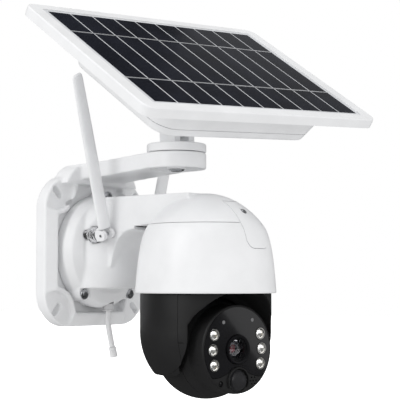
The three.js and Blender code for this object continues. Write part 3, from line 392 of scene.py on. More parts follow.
def worked(stock, joined=(), removed=(), kept=()):
    """Joins solids to a stock, cuts others away and keeps what lies within the last."""
    body = as_object(stock)
    tools = []
    for operation, solids in (("UNION", joined), ("DIFFERENCE", removed),
                              ("INTERSECT", kept)):
        for solid in solids:
            tools.append(as_object(solid))
            step = body.modifiers.new(operation, "BOOLEAN")
            step.operation = operation
            step.solver = "MANIFOLD"
            step.object = tools[-1]
    shape = settled(body)
    for tool in tools:
        bpy.data.objects.remove(tool)
    return shape


def softened(shape, grid, passes):
    """Gives a moulding its rounded edges: an even skin on a fine grid, then smoothed."""
    body = as_object(shape)
    skin = body.modifiers.new("skin", "REMESH")
    skin.mode = "VOXEL"
    skin.voxel_size = grid
    shape = settled(body)
    for _ in range(passes):
        bmesh.ops.smooth_vert(shape, verts=shape.verts, factor=0.5, use_axis_x=True,
                              use_axis_y=True, use_axis_z=True)
    return shape


plate = rounded_block(PLATE_HALF, PLATE_HALF, PLATE_CORNER, 0, PLATE_WALL)
front = max(plate.faces, key=lambda f: f.calc_center_median().z)
bmesh.ops.inset_region(plate, faces=[front], thickness=CREST_INSET, depth=0,
                       use_even_offset=True)
front = min((f for f in plate.faces if f.normal.z > 0.9 and len(f.verts) > 8),
            key=lambda f: f.calc_area())
bmesh.ops.translate(plate, verts=front.verts, vec=(0, 0, PLATE_DEPTH - PLATE_WALL))
quarter = [(1, 1), (-1, 1), (-1, -1), (1, -1)]
pocket_at = PLATE_HALF - POCKET_INSET
slot_at = PLATE_HALF - SLOT_INSET
recess_half = PLATE_HALF - CREST_INSET - RECESS_WALL
recess = worked(
    rounded_block(recess_half, recess_half, RECESS_CORNER, RECESS_FLOOR, 40),
    joined=[block(-RECESS_UP_HALF, RECESS_UP_HALF, 0, PLATE_HALF - 3.2, RECESS_FLOOR, 40)],
    removed=[moved(rod(POCKET_R + RIDGE, 0, 50), sx * pocket_at, sy * pocket_at)
             for sx, sy in quarter])
pockets = [moved(rod(POCKET_R, PLATE_WALL, 50), sx * pocket_at, sy * pocket_at)
           for sx, sy in quarter]
slots = [slot_block(sx * slot_at, sy * slot_at, math.atan2(sy, sx), SLOT_LENGTH,
                    SLOT_WIDTH, -5, 40) for sx, sy in quarter]
keys = [slot_block(s * KEY_PLACE[0], KEY_PLACE[1], -s * math.radians(KEY_TURN), *KEY_SIZE,
                   -5, 40) for s in (-1, 1)]
plate = turned_to(worked(plate, removed=[recess, *pockets, *slots, *keys]), TO_WALL)

half_plan = [(-FLARE_HALF, -2), (-FLARE_HALF, -PLATE_DEPTH)] + [
    (-ARM_HALF - (FLARE_HALF - ARM_HALF) * (1 - t) ** 2.6, -PLATE_DEPTH - 34 * t)
    for t in [i / 10 for i in range(1, 11)]]
plan = half_plan + arc(0, -ARM_REACH, ARM_HALF, 180, 360, 32) + [
    (-x, y) for x, y in reversed(half_plan)]
# Side view of the arm, x out from the wall and y up: it rises outwards to a level end.
rise = [(0, 58.2), (88, ARM_BOTTOM), (ARM_REACH + 30, ARM_BOTTOM),
        (ARM_REACH + 30, ARM_TOP), (92, ARM_TOP), (0, 71.4)]
STAND = Matrix.Rotation(-math.pi / 2, 4, "Z") @ Matrix.Rotation(math.pi / 2, 4, "X")
arm = worked(outline_block(plan, 40, 100),
             kept=[turned_to(outline_block(rise, -80, 80), STAND)])
root = worked(turned_to(rounded_block(ROOT_HALF, ROOT_TOP, ROOT_CORNER, 0, PLATE_DEPTH + 2), TO_WALL),
              kept=[block(-90, 90, -40, 0, 56, 90)])
under = worked(rod(ARM_HALF - ARM_END_SEAT, ARM_BOTTOM - 9, ARM_BOTTOM + 4),
               removed=[rod(8, 0, 99)])
bracket = worked(plate, joined=[root, arm],
                 removed=[moved(under, y=-ARM_REACH), moved(rod(4.1, 0, 100), y=-ARM_REACH)])
bracket = softened(bracket, 1.0, 4)
piece("wall_bracket_moulding", bracket, white, "mount", "white_plastic", "wall_bracket")


# ---------------------------------------------------------------- camera base
# Second white moulding: a round foot with three screw lugs, an arched body and a hollow
# neck that ends in the crown over the dome. It is screwed to the plate.
PAN_AXIS_Y = 127.2
FLANGE_R = 47.5
FLANGE_FRONT = 24
LUG_R = 10
LUG_INSET = 0.88
FOOT_DRAFT = 3.2
BASE_SCREWS = [("top", 0, 47), ("left", -28.7, -36), ("right", 28.7, -36)]
BODY_HALF = 33
BODY_FRONT = 50
BODY_BOTTOM = -31
NECK_TOP = 44.3
NECK_HALF = 22
NECK_BOTTOM = 17
SEAM_Z = 19.8
SEAM_R = 45.4
CROWN_Z = 44.5
SHELL = 2.4
ANTENNA_X = 30
ANTENNA_Z = 13
SOCKET_FRONT = 40
SOCKET_R = 6.6
COVER_HALF = 13.3
COVER_LOW = 0
COVER_HIGH = 37
COVER_CORNER = 7
COVER_TAPER = 3.6


def curve_points(a, b, c, d, steps):
    """Points of a cubic curve between a and d, with handles b and c."""
    points = []
    for i in range(steps + 1):
        t = i / steps
        weights = ((1 - t) ** 3, 3 * t * (1 - t) ** 2, 3 * t * t * (1 - t), t ** 3)
        points.append(tuple(sum(w * p[k] for w, p in zip(weights, (a, b, c, d)))
                            for k in (0, 1)))
    return points


CROWN = [(SEAM_R, SEAM_Z), (SEAM_R - 9.4, SEAM_Z + 12.4), (20, CROWN_Z), (0, CROWN_Z)]
crown_out = curve_points(*CROWN, 20)
crown_in = [(max(r - SHELL, 0), z - SHELL * (1 - r / SEAM_R) - 0.3) for r, z in crown_out]


def cover_prism(grow):
    """The card cover's outline as a cutter, wider all round by a clearance."""
    wide = COVER_HALF + grow
    low = COVER_LOW - grow
    high = COVER_HIGH + grow
    points = ([(-wide + COVER_TAPER, high), (-wide, SEAM_Z - 2)]
              + arc(-wide + COVER_CORNER, low + COVER_CORNER, COVER_CORNER, 180, 270, 8)
              + arc(wide - COVER_CORNER, low + COVER_CORNER, COVER_CORNER, 270, 360, 8)
              + [(wide, SEAM_Z - 2), (wide - COVER_TAPER, high)])
    return turned_to(outline_block(points, PAN_AXIS_Y + 14, PAN_AXIS_Y + 94), TO_WALL)


def body_block(thin, front, y0):
    """The arched body: its plan crossed with its front view, both smaller by a wall."""
    half = BODY_HALF - thin
    side = curve_points((-half, -FLANGE_FRONT), (-half, -FLANGE_FRONT - 9),
                        (-half + 9, -front), (0, -front), 12)
    outline = [(-half, 0)] + side + [(-x, y) for x, y in reversed(side[:-1])] + [(half, 0)]
    rise_left = curve_points((half, 8), (half, 32), (22, NECK_TOP - thin),
                             (0, NECK_TOP - thin), 12)
    arch = ([(-half, BODY_BOTTOM + thin), (half, BODY_BOTTOM + thin)] + rise_left
            + [(-x, z) for x, z in reversed(rise_left[:-1])])
    return worked(outline_block(outline, -100, 100),
                  kept=[turned_to(outline_block(arch, y0, 90), TO_WALL)])


def neck_block(half, grow):
    """Side view of the neck, x out from the wall and y up, pulled out to its width."""
    throat = curve_points((BODY_FRONT + 20, NECK_BOTTOM + grow),
                          (BODY_FRONT + 6, NECK_BOTTOM - 1 + grow),
                          (BODY_FRONT - grow, NECK_BOTTOM - 8 + grow),
                          (BODY_FRONT - 4 - grow, NECK_BOTTOM - 30 + grow), 10)
    points = [(BODY_FRONT - 16, NECK_TOP - grow), (PAN_AXIS_Y, NECK_TOP - grow),
              (PAN_AXIS_Y, SEAM_Z + 5 + grow), (PAN_AXIS_Y - SEAM_R - 3, SEAM_Z + grow)
              ] + throat + [(BODY_FRONT - 16, NECK_BOTTOM - 30 + grow)]
    return turned_to(outline_block(points, -half, half), STAND)


foot = worked(rod(FLANGE_R, RECESS_FLOOR + 0.3, FLANGE_FRONT - 7, 96),
              joined=[rod(FLANGE_R, FLANGE_FRONT - 7, FLANGE_FRONT, 96, FLANGE_R - FOOT_DRAFT),
                      rod(FLANGE_R - FOOT_DRAFT, FLANGE_FRONT, FLANGE_FRONT + 4, 96, FLANGE_R - 12)]
              + [moved(rod(LUG_R, RECESS_FLOOR + 0.3, FLANGE_FRONT - 2, 48, LUG_R - 1.5),
                       x * LUG_INSET, z * LUG_INSET) for _, x, z in BASE_SCREWS])
crown = moved(turned([(0, SEAM_Z - 2), (SEAM_R + 0.4, SEAM_Z - 2)] + crown_out), y=-PAN_AXIS_Y)
base = worked(turned_to(foot, TO_WALL),
              joined=[body_block(0, BODY_FRONT, FLANGE_FRONT - 4), neck_block(NECK_HALF, 0), crown])
crown_room = moved(turned([(0, SEAM_Z - 9), (SEAM_R - SHELL, SEAM_Z - 9)] + crown_in),
                   y=-PAN_AXIS_Y)
hollows = [body_block(SHELL, BODY_FRONT - SHELL, 0), neck_block(NECK_HALF - SHELL, SHELL),
           crown_room]
for side in (-1, 1):
    for radius, y0, y1 in ((4.3, 10, 60), (SOCKET_R + 0.3, SOCKET_FRONT - 8.3, 60),
                           (8.6, SOCKET_FRONT, 60)):
        hollows.append(turned_to(rod(radius, y0, y1),
                                 Matrix.Translation((side * ANTENNA_X, 0, ANTENNA_Z)) @ TO_WALL))
for _, x, z in BASE_SCREWS:
    for radius, y0, y1 in ((5.4, FLANGE_FRONT - 2, BODY_FRONT), (2.3, 0, 40)):
        hollows.append(turned_to(rod(radius, y0, y1), Matrix.Translation((x, 0, z)) @ TO_WALL))
hollows.append(moved(rod(4.3, -80, -40), CORD_ROUTE[0][0] * 1000, CORD_ROUTE[0][1] * 1000))
base = softened(worked(base, removed=hollows), 0.9, 4)
# The seam face and the cover's recess are cut sharp, as shut-off faces of the mould are.
under_seam = moved(rod(60, -20, SEAM_Z, 96), y=-PAN_AXIS_Y)
base = worked(base, removed=[under_seam, cover_prism(0.3)])
piece("base_moulding", base, white, "mount", "white_plastic", "base_housing", sharp=32)


# ---------------------------------------------------------------- machine screws
# Zinc-plated pan-head screws with a cross recess, cold headed and rolled: three hold the
# base to the plate, and a short one the card cover.
steel = grained(finish("zinc_plate", (0.60, 0.61, 0.63), 0.30, 1.0), 0.8, 0.015, 0.12, 0.1)


def eased(shape, width, segments=3, angle=35):
    """Rounds the edges that turn by more than an angle."""
    edges = [e for e in shape.edges
             if len(e.link_faces) == 2 and e.calc_face_angle(0) > math.radians(angle)]
    bmesh.ops.bevel(shape, geom=edges, offset=width, offset_type="OFFSET", affect="EDGES",
                    segments=segments, profile=0.5, material=-1, clamp_overlap=True)
    return shape


def machine_screw(head_r, head_h, shank_r, shank_l):
    flank = []
    turns = max(int(shank_l / 0.9), 2)
    for i in range(turns):
        z = -shank_l + i * shank_l / turns
        flank += [(shank_r - 0.25, z + 0.05), (shank_r, z + 0.45)]
    head = [(head_r, 0.1), (head_r, head_h * 0.35)] + [
        (head_r * (0.55 + 0.45 * c), head_h * (0.35 + 0.65 * s))
        for c, s in arc(0, 0, 1, 0, 90, 6)[1:]]
    body = turned([(0, -shank_l)] + flank + [(shank_r, 0), (head_r - 0.1, 0)] + head
                  + [(0, head_h)], 32)
    bars = [block(-a, a, -b, b, head_h * 0.4, head_h + 1)
            for a, b in ((head_r * 0.55, head_r * 0.13), (head_r * 0.13, head_r * 0.55))]
    return worked(body, removed=bars)


for where, x, z in BASE_SCREWS:
    shape = moved(machine_screw(4.2, 2.6, 2.1, 13), x, z, FLANGE_FRONT - 1.7)
    piece(f"base_machine_screw_{where}", shape, steel, "mount", "screw_steel",
          f"base_screw_{where}", place=TO_WALL, sharp=30)


# ---------------------------------------------------------------- shroud
# White moulded skirt of the dome, turned on the same curve as the crown above it and
# clipped to it at a fine seam. Its lower lip is rolled thick.
SHROUD_R = 56
SHROUD_BOTTOM = -34.5
shroud_out = curve_points((SHROUD_R, SHROUD_BOTTOM + 0.8), (SHROUD_R - 2.2, 0),
                          (SEAM_R + 5.2, SEAM_Z - 6.3), (SEAM_R, SEAM_Z), 24)
shroud_in = [(r - SHELL, z - 0.4) for r, z in reversed(shroud_out)]
skirt = turned([(SHROUD_R - 0.6, SHROUD_BOTTOM)] + shroud_out + shroud_in
               + [(SHROUD_R - SHELL, SHROUD_BOTTOM), (SHROUD_R - 0.6, SHROUD_BOTTOM)], 160)
skirt = worked(moved(skirt, y=-PAN_AXIS_Y),
               removed=[moved(rod(90, SEAM_Z - 0.35, SEAM_Z + 9), y=-PAN_AXIS_Y),
                        cover_prism(0.3)])
piece("dome_skirt", skirt, white, "mount", "white_plastic", "shroud", sharp=32)


# ---------------------------------------------------------------- card cover
# Small white cover over the memory card slot on the dome's front, across the seam, held
# by one short screw in a sunk seat.
COVER_SCREW_OUT = 37.2
COVER_SCREW_Z = 29.4
whole_out = curve_points((SHROUD_R, SHROUD_BOTTOM), (SHROUD_R - 2.2, 0),
                         (SEAM_R + 5.2, SEAM_Z - 6.3), (SEAM_R, SEAM_Z), 24) + crown_out[1:]
shell_out = [(r + 0.15, z + 0.1) for r, z in whole_out if r > 8]
shell_in = [(r - SHELL, z - 0.8) for r, z in reversed(shell_out)]
cover = moved(turned(shell_out + shell_in + shell_out[:1], 160), y=-PAN_AXIS_Y)
LEAN = Matrix.Translation((0, -PAN_AXIS_Y - COVER_SCREW_OUT, COVER_SCREW_Z)) @ \
    Matrix.Rotation(math.radians(38), 4, "X")
cover = worked(cover, removed=[turned_to(rod(1.7, -9, 9), LEAN),
                               turned_to(rod(3.0, -0.9, 9), LEAN)], kept=[cover_prism(0)])
piece("card_cover_lid", eased(cover, 0.25, 2, 45), white, "mount", "white_plastic",
      "card_cover", sharp=32)
piece("card_cover_machine_screw", moved(machine_screw(2.5, 1.1, 1.4, 5), z=-0.6), steel, "mount",
      "screw_steel", "card_cover_screw", place=LEAN, sharp=30)


# ---------------------------------------------------------------- deck and electronics
# Inside the dome: a black deck with the pan bearing and motor, and over it the main board
# with its card slot and reset key. They keep their working shapes and get their finishes.
black = grained(finish("moulded_black", (0.016, 0.016, 0.0165), 0.44), 0.4, 0.03, 0.1, 0.05)
board_green = grained(finish("solder_mask", (0.012, 0.10, 0.035), 0.35), 1.2, 0.03, 0.25, 0.1)
nylon = grained(finish("natural_nylon", (0.72, 0.70, 0.63), 0.48), 0.6, 0.02, 0.05, 0.06)
sleeve_blue = grained(finish("cell_sleeve", (0.03, 0.13, 0.40), 0.32), 2.5, 0.05, 0.1, 0.08)
turned_steel = grained(finish("turned_steel", (0.56, 0.57, 0.59), 0.26, 1.0), 0.5, 0.02, 0.1,
                       0.08, (1, 1, 0.05))
INSIDE = {
    "pan_deck": black, "reset_button": black, "tilt_gear": black,
    "pan_bearing": turned_steel, "pan_motor": turned_steel, "tilt_motor": turned_steel,
    "speaker": steel, "card_slot": steel,
    "main_board": board_green, "image_board": board_green, "charge_board": board_green,
    "pan_gear": nylon, "pan_pinion": nylon, "neck_nut": nylon, "tilt_pinion": nylon,
    "battery_cell_1": sleeve_blue, "battery_cell_2": sleeve_blue, "battery_cell_3": sleeve_blue,
}
for node, paint in INSIDE.items():
    obj = frame["nodes"][node]
    obj.data.materials.clear()
    obj.data.materials.append(paint)


# ---------------------------------------------------------------- yoke
# Black moulded yoke that hangs from the pan bearing by its hollow neck: a drum with a
# round underside, opened at the front for the head, with two cheeks that carry its axle.
def joint(name):
    return next(j for j in frame["joints"] if j["name"] == name)


tilt_axis = Vector(joint("camera_tilt")["axis"])
HEADING = Matrix.Translation((0, -PAN_AXIS_Y, 0)) @ Matrix.Rotation(
    math.atan2(tilt_axis.y, tilt_axis.x), 4, "Z")
YOKE_R = 52
YOKE_TOP = -30
YOKE_SPHERE_Z = -65
YOKE_BOTTOM = -98
TILT_Z = -77.2
HEAD_R = 40.3
HEAD_SIDE = 34.2
CAVITY_GAP = 1.2
OPENING_R = 46
OPENING_HALF = 41.4
OPENING_BEVEL = 2.5
CHEEK_HALF = 24
CHEEK_MARGIN = 7
COVER_X = 41
SEAT_GAP = 0.3
NECK_R = 11
AXLE_R = 5
TILT_POCKET_X = 38.4
TILT_POCKET_R = 23.8


def drum(radius, top=YOKE_TOP, rim=1.2):
    low = arc(0, YOKE_SPHERE_Z, radius, -90, 0, 20)
    return turned(low + [(radius, top - rim), (radius - rim, top), (0, top)], 128)


def lying(shape):
    """A shape built along Z, laid along X."""
    return turned_to(shape, Matrix.Rotation(math.pi / 2, 4, "Y"))


def u_block(half, low, x0, x1):
    """A cheek cover's side view, straight with a round lower end, between two x."""
    points = [(half, YOKE_TOP + 4), (-half, YOKE_TOP + 4)] + arc(0, low + half, half, 180, 360, 24)
    across = turned_to(outline_block(points, -x1, -x0), Matrix.Rotation(math.pi / 2, 4, "X"))
    return turned_to(across, Matrix.Rotation(math.pi / 2, 4, "Z"))


def at_tilt(shape):
    return moved(shape, z=TILT_Z)


ball = bmesh.new()
bmesh.ops.create_icosphere(ball, subdivisions=5, radius=HEAD_R + CAVITY_GAP)
cheek_in = HEAD_SIDE + CAVITY_GAP
cavity = worked(at_tilt(ball), kept=[block(-cheek_in, cheek_in, -90, 90, -200, 0)])
opening = worked(at_tilt(turned_to(turned([(0, 0), (cheek_in, 0), (cheek_in, 8),
                                           (OPENING_R - OPENING_BEVEL, 20), (OPENING_R, 34),
                                           (OPENING_R, 70), (0, 70)], 96), TO_WALL)),
                 kept=[block(-OPENING_HALF, OPENING_HALF, -90, 1, -200, 0)])
swing = block(-cheek_in, cheek_in, -80, 0, -200, TILT_Z)
cheek_r = CHEEK_HALF + CHEEK_MARGIN
end_z = YOKE_BOTTOM + cheek_r - 2
side_cut = arc(0, end_z, cheek_r, 0, -90, 20) + [(0, -200), (90, -200), (90, end_z)]
chin = turned_to(outline_block(side_cut, -100, 100), STAND)
yoke = worked(drum(YOKE_R), joined=[rod(NECK_R, YOKE_TOP - 1, -8)],
              removed=[block(-80, 80, -80, 80, -200, YOKE_BOTTOM), cavity, opening, swing, chin,
                       at_tilt(lying(rod(TILT_POCKET_R, -TILT_POCKET_X, -HEAD_SIDE))),
                       at_tilt(lying(rod(AXLE_R + 0.1, -80, 80))), rod(NECK_R - 3, TILT_Z, 40)])
yoke = softened(yoke, 0.8, 3)
# Shallow seats for the cheek covers and the short shut-off line before them, cut sharp.
SHUT_OFF_Z = -71.5
yoke = worked(yoke, removed=[u_block(CHEEK_HALF + SEAT_GAP, YOKE_BOTTOM - 4, *reach)
                             for reach in ((COVER_X, 80), (-80, -COVER_X))]
              + [block(*reach, -CHEEK_HALF - 9, -CHEEK_HALF, SHUT_OFF_Z - 0.2, SHUT_OFF_Z + 0.2)
                 for reach in ((COVER_X + 2, 80), (-80, -COVER_X - 2))])
piece("yoke_moulding", yoke, black, "yoke", "black_plastic", "yoke_housing", place=HEADING,
      sharp=32)


# ---------------------------------------------------------------- cheek covers
# Two black moulded covers, each straight at the sides and round below. They are clipped
# into shallow seats in the yoke's flanks, flush with it, and close the axle ends.
for where, reach in (("left", (-80, -COVER_X - SEAT_GAP)),
                     ("right", (COVER_X + SEAT_GAP, 80))):
    hollow = worked(drum(YOKE_R - SHELL, YOKE_TOP + 9, 0),
                    kept=[u_block(CHEEK_HALF - SHELL, YOKE_BOTTOM + 4, -80, 80)])
    cheek = worked(drum(YOKE_R), kept=[u_block(CHEEK_HALF, YOKE_BOTTOM - 4, *reach)],
                   removed=[block(-80, 80, -80, 80, -200, YOKE_BOTTOM), hollow])
    piece(f"cheek_lid_{where}", eased(cheek, 0.35, 2, 50), black, "yoke", "black_plastic",
          f"cheek_cover_{where}", place=HEADING, sharp=32)


# ---------------------------------------------------------------- camera head
# Black moulded head in two shells, front and rear, joined on a plane behind the face. A
# ball with a straight collar, flat at the sides, where its axle stubs run in the yoke.
HEAD_PLACE = HEADING @ Matrix.Translation((0, 0, TILT_Z))
FACE_Y = 39.5
COLLAR_R = 34
FACE_DEPTH = 3.6
HEAD_SPLIT = 14
WINDOW_R = 32.3
WINDOW_THICK = 1.6
LENS_R = 11.2
LED_R = 4.7
LED_PLACES = [(22.8, 11.5), (24.1, 0), (22.8, -11.5)]
PIR_R = 8.4
PIR_Z = -23.8
SENSOR_PLACE = (-16.6, -25.6)
SPEAKER_PLACE = (15.5, -24.4)
SPEAKER_HOLE_R = 0.7
SPEAKER_RINGS = ((0, 1), (2.9, 6))
TILT_DISTANCE = 16
led_spots = [(s * x, z) for x, z in LED_PLACES for s in (-1, 1)]


def facing(shape, x=0.0, z=0.0):
    """A shape built along Z, turned to look out of the face at a place on it."""
    return moved(turned_to(shape, TO_WALL), x, 0, z)


def head_profile(radius, collar, front, bevel):
    join = math.degrees(math.acos(collar / radius))
    return arc(0, 0, radius, -90, join, 32) + [(collar, front - bevel)] + arc(
        collar - bevel, front - bevel, bevel, 0, 90, 5)[1:] + [(0, front)]


chin_r = PIR_R + 2.4


def ring_block(inner, outer, z0, z1, steps=64):
    return turned([(inner, z0), (outer, z0), (outer, z1), (inner, z1), (inner, z0)], steps)


def chin_block(shrink, y0):
    """What lies under the window's lower edge, with its arch over the motion sensor."""
    radius = chin_r - shrink
    over = arc(0, PIR_Z, radius, 142, 38, 20)
    left = curve_points((-31, -19 - shrink), (-25, -23 - shrink), (-15, -21 - shrink),
                        over[0], 8)
    points = ([(-40, -19 - shrink)] + left[:-1] + over
              + [(-x, z) for x, z in reversed(left[:-1])]
              + [(40, -19 - shrink), (40, -50), (-40, -50)])
    return facing(outline_block(points, y0, FACE_Y + 12))


head_body = worked(facing(turned(head_profile(HEAD_R, COLLAR_R, FACE_Y, 1.2), 128)),
                   kept=[block(-HEAD_SIDE, HEAD_SIDE, -90, 90, -90, 90)])
head_room = worked(facing(turned(head_profile(HEAD_R - SHELL, COLLAR_R - SHELL,
                                              FACE_Y - FACE_DEPTH, 0.4), 96)),
                   kept=[block(-HEAD_SIDE + SHELL, HEAD_SIDE - SHELL, -90, 90, -90, 90)])
head_shell = softened(worked(head_body, removed=[head_room]), 0.62, 2)
rear = worked(head_shell.copy(), joined=[worked(lying(rod(AXLE_R, -43.5, 43.5)), removed=[
    lying(rod(AXLE_R + 1, -HEAD_SIDE + 2, HEAD_SIDE - 2))])],
    removed=[block(-90, 90, -90, -HEAD_SPLIT + 0.15, -90, 90), lying(rod(AXLE_R - 2, -60, 60)),
             moved(lying(rod(2.2, -HEAD_SIDE - 2, -20)), z=TILT_DISTANCE)])
piece("head_rear_moulding", rear, black, "head", "black_plastic", "head_rear_shell",
      place=HEAD_PLACE, sharp=32)
seat = worked(facing(rod(WINDOW_R + 0.3, FACE_Y - WINDOW_THICK - 0.3, FACE_Y + 9, 128)),
              removed=[chin_block(0.3, FACE_Y - 20)])
openings = [seat, facing(rod(LENS_R + 0.3, 0, 90, 96)), facing(rod(PIR_R + 0.3, 20, 90), 0, PIR_Z),
            facing(rod(2.3, 20, 90, 32), *SENSOR_PLACE)]
openings += [facing(rod(LED_R + 0.3, 20, 90), x, z) for x, z in led_spots]
for ring_r, count in SPEAKER_RINGS:
    for i in range(count):
        turn = math.tau * i / count
        openings.append(facing(rod(SPEAKER_HOLE_R, 20, 90, 16),
                               SPEAKER_PLACE[0] + ring_r * math.cos(turn),
                               SPEAKER_PLACE[1] + ring_r * math.sin(turn)))
# A raised lip shades the motion sensor from above.
lip = eased(ring_block(PIR_R + 0.8, chin_r - 0.5, FACE_Y - 2, FACE_Y + 1.8), 0.35, 2, 60)
lip = worked(facing(lip, 0, PIR_Z), removed=[block(-20, 20, -90, 0, -90, PIR_Z - 5)])
behind = block(-90, 90, -HEAD_SPLIT - 0.15, 90, -90, 90)
front_shell = worked(head_shell, joined=[lip], removed=[behind] + openings)
piece("head_front_moulding", front_shell, black, "head", "black_plastic", "head_front_shell",
      place=HEAD_PLACE, sharp=32)


# ---------------------------------------------------------------- face window
# Smoked acrylic window glued into a step of the face, polished, with its lower edge
# arched over the motion sensor and two moulded dots that hold it while the glue sets.
smoked = grained(finish("smoked_acrylic", (0.006, 0.006, 0.007), 0.06,
                        sockets=[("Coat Weight", 0.6), ("Coat Roughness", 0.03)]),
                 3.0, 0.002, 0.2, 0.02)
window = worked(facing(rod(WINDOW_R, FACE_Y - WINDOW_THICK, FACE_Y - 0.1, 128)),
                removed=[chin_block(0, FACE_Y - 20), facing(rod(LENS_R + 0.3, 0, 90, 96))]
                + [facing(rod(LED_R + 0.3, 20, 90), x, z) for x, z in led_spots])
piece("face_window_pane", eased(window, 0.25, 2, 60), smoked, "head", "gloss_black",
      "face_window", place=HEAD_PLACE, sharp=32)
grey_pin = grained(finish("grey_pin", (0.16, 0.16, 0.165), 0.4), 0.3, 0.01, 0.1)
PIN_PLACES = [("left", -13.7, 20.9), ("right", 14.7, 22.2)]
for where, x, z in PIN_PLACES:
    pin = facing(turned([(0, FACE_Y - 0.12), (1.45, FACE_Y - 0.12), (1.4, FACE_Y + 0.05),
                         (1.0, FACE_Y + 0.16), (0, FACE_Y + 0.2)], 32), x, z)
    piece(f"window_pin_{where}", pin, grey_pin, "head", "black_plastic", place=HEAD_PLACE)


# ---------------------------------------------------------------- lens
# Black anodised lens barrel with stepped baffles, and its coated front glass, pressed in
# from the front.
anodised = grained(finish("black_anodised", (0.016, 0.016, 0.018), 0.28, 0.6), 0.4, 0.01, 0.1)
BARREL = [(0, 22), (8, 22), (8, 30), (LENS_R, 30), (LENS_R, FACE_Y + 1.2),
          (LENS_R - 0.3, FACE_Y + 1.6), (LENS_R - 0.8, FACE_Y + 1.8), (LENS_R - 1.6, FACE_Y + 1.7),
          (LENS_R - 2.4, FACE_Y + 1.1), (LENS_R - 2.6, FACE_Y - 0.2), (LENS_R - 3.2, FACE_Y - 0.4),
          (LENS_R - 3.3, FACE_Y - 1.0), (7.3, FACE_Y - 1.2), (7.2, FACE_Y - 2.9),
          (6.2, FACE_Y - 3.1), (6.0, FACE_Y - 4.2), (5.0, FACE_Y - 4.4), (4.8, FACE_Y - 5.6),
          (3.8, FACE_Y - 5.8), (3.6, FACE_Y - 7.5), (0, FACE_Y - 7.6)]
piece("lens_barrel_turning", facing(turned(BARREL)), anodised, "head", "black_plastic",
      "lens_barrel", place=HEAD_PLACE, sharp=25)
coated = grained(finish("coated_glass", (0.93, 0.93, 0.97), 0.03,
                        sockets=[("Transmission Weight", 1.0), ("IOR", 1.5)]),
                 4.0, 0.001, 0.01, 0.01)


def cap_points(radius, rise, z, steps=16):
    """A dome's outline from its edge up to the axis."""
    sphere = (radius * radius + rise * rise) / (2 * rise)
    low = math.degrees(math.asin((sphere - rise) / sphere))
    return arc(0, z + rise - sphere, sphere, low, 90, steps)


outer_dome = cap_points(7.0, 2.2, FACE_Y - 2.4)
inner_dome = cap_points(6.2, 1.9, FACE_Y - 2.8)
meniscus = facing(turned(outer_dome + inner_dome[::-1] + outer_dome[:1]))
piece("lens_front_element", meniscus, coated, "head", "gloss_black", "lens_glass",
      place=HEAD_PLACE, sharp=40)
# The rear element's dark red is a painted reflection: it stands for the red glint off the lens
# coating, set deep in the barrel so it shows left of the centre.
red_glint_paint = grained(finish("painted_red_glint", (0.16, 0.004, 0.012), 0.08), 2.0, 0.001, 0.2, 0.02)
rear_dome = facing(turned([(0, FACE_Y - 7.5), (3.4, FACE_Y - 7.5)]
                          + cap_points(3.4, 1.6, FACE_Y - 7.2)))
piece("lens_rear_element", rear_dome, red_glint_paint, "head", "gloss_black", place=HEAD_PLACE, sharp=40)


# ---------------------------------------------------------------- lamps
# Six lamps round the lens: each a vacuum metallised cup with a square emitter at its
# bottom and a clear domed cap over it. The upper and lower ones give warm light.
clear = grained(finish("clear_cap", (0.98, 0.98, 0.97), 0.04,
                       sockets=[("Transmission Weight", 0.92)]), 2.0, 0.004, 0.01, 0.02)
mirror = grained(finish("metallised_cup", (0.93, 0.92, 0.90), 0.14, 1.0), 0.6, 0.03, 0.04, 0.06)
emitters = {
    "warm": grained(finish("warm_emitter", (0.85, 0.62, 0.16), 0.5), 0.15, 0.02, 0.15),
    "cool": grained(finish("cool_emitter", (0.80, 0.82, 0.80), 0.45), 0.15, 0.02, 0.1),
}
EMITTER_HALF = 1.1
CUP = [(0, -7), (LED_R, -7), (LED_R, 0.1), (LED_R - 0.25, 0.3), (LED_R - 0.6, 0.3),
       (LED_R - 0.8, 0.1)] + [(1.5 + 2.3 * t ** 0.7, -3.6 + 3.6 * t ** 1.6)
                              for t in [i / 8 for i in range(7, -1, -1)]] + [(0, -3.6)]


def added(stock, part, paint):
    """Lays a closed part into the stock, with its own place in the list of materials."""
    mesh = bpy.data.meshes.new("part")
    for face in part.faces:
        face.material_index = paint
    part.to_mesh(mesh)
    part.free()
    stock.from_mesh(mesh)
    bpy.data.meshes.remove(mesh)


for number, (x, z) in enumerate(led_spots, 1):
    tone = "cool" if z == 0 else "warm"
    lamp = turned(CUP, 48)
    emitter = block(-EMITTER_HALF, EMITTER_HALF, -EMITTER_HALF, EMITTER_HALF, -3.55, -3.0)
    cap = turned([(0, -2.6), (2.6, -2.6), (2.9, -1.6)] + [
        (2.9 * math.cos(a), -1.0 + 2.1 * math.sin(a)) for a in
        [math.radians(90 * i / 8) for i in range(8)]] + [(0, 1.1)], 40)
    added(lamp, emitter, 1)
    added(lamp, cap, 2)
    lamp = facing(moved(lamp, z=FACE_Y), x, z)
    piece(f"lamp_{number}", lamp, [mirror, emitters[tone], clear], "head", "led_reflector",
          f"led_{number}", place=HEAD_PLACE, sharp=35)


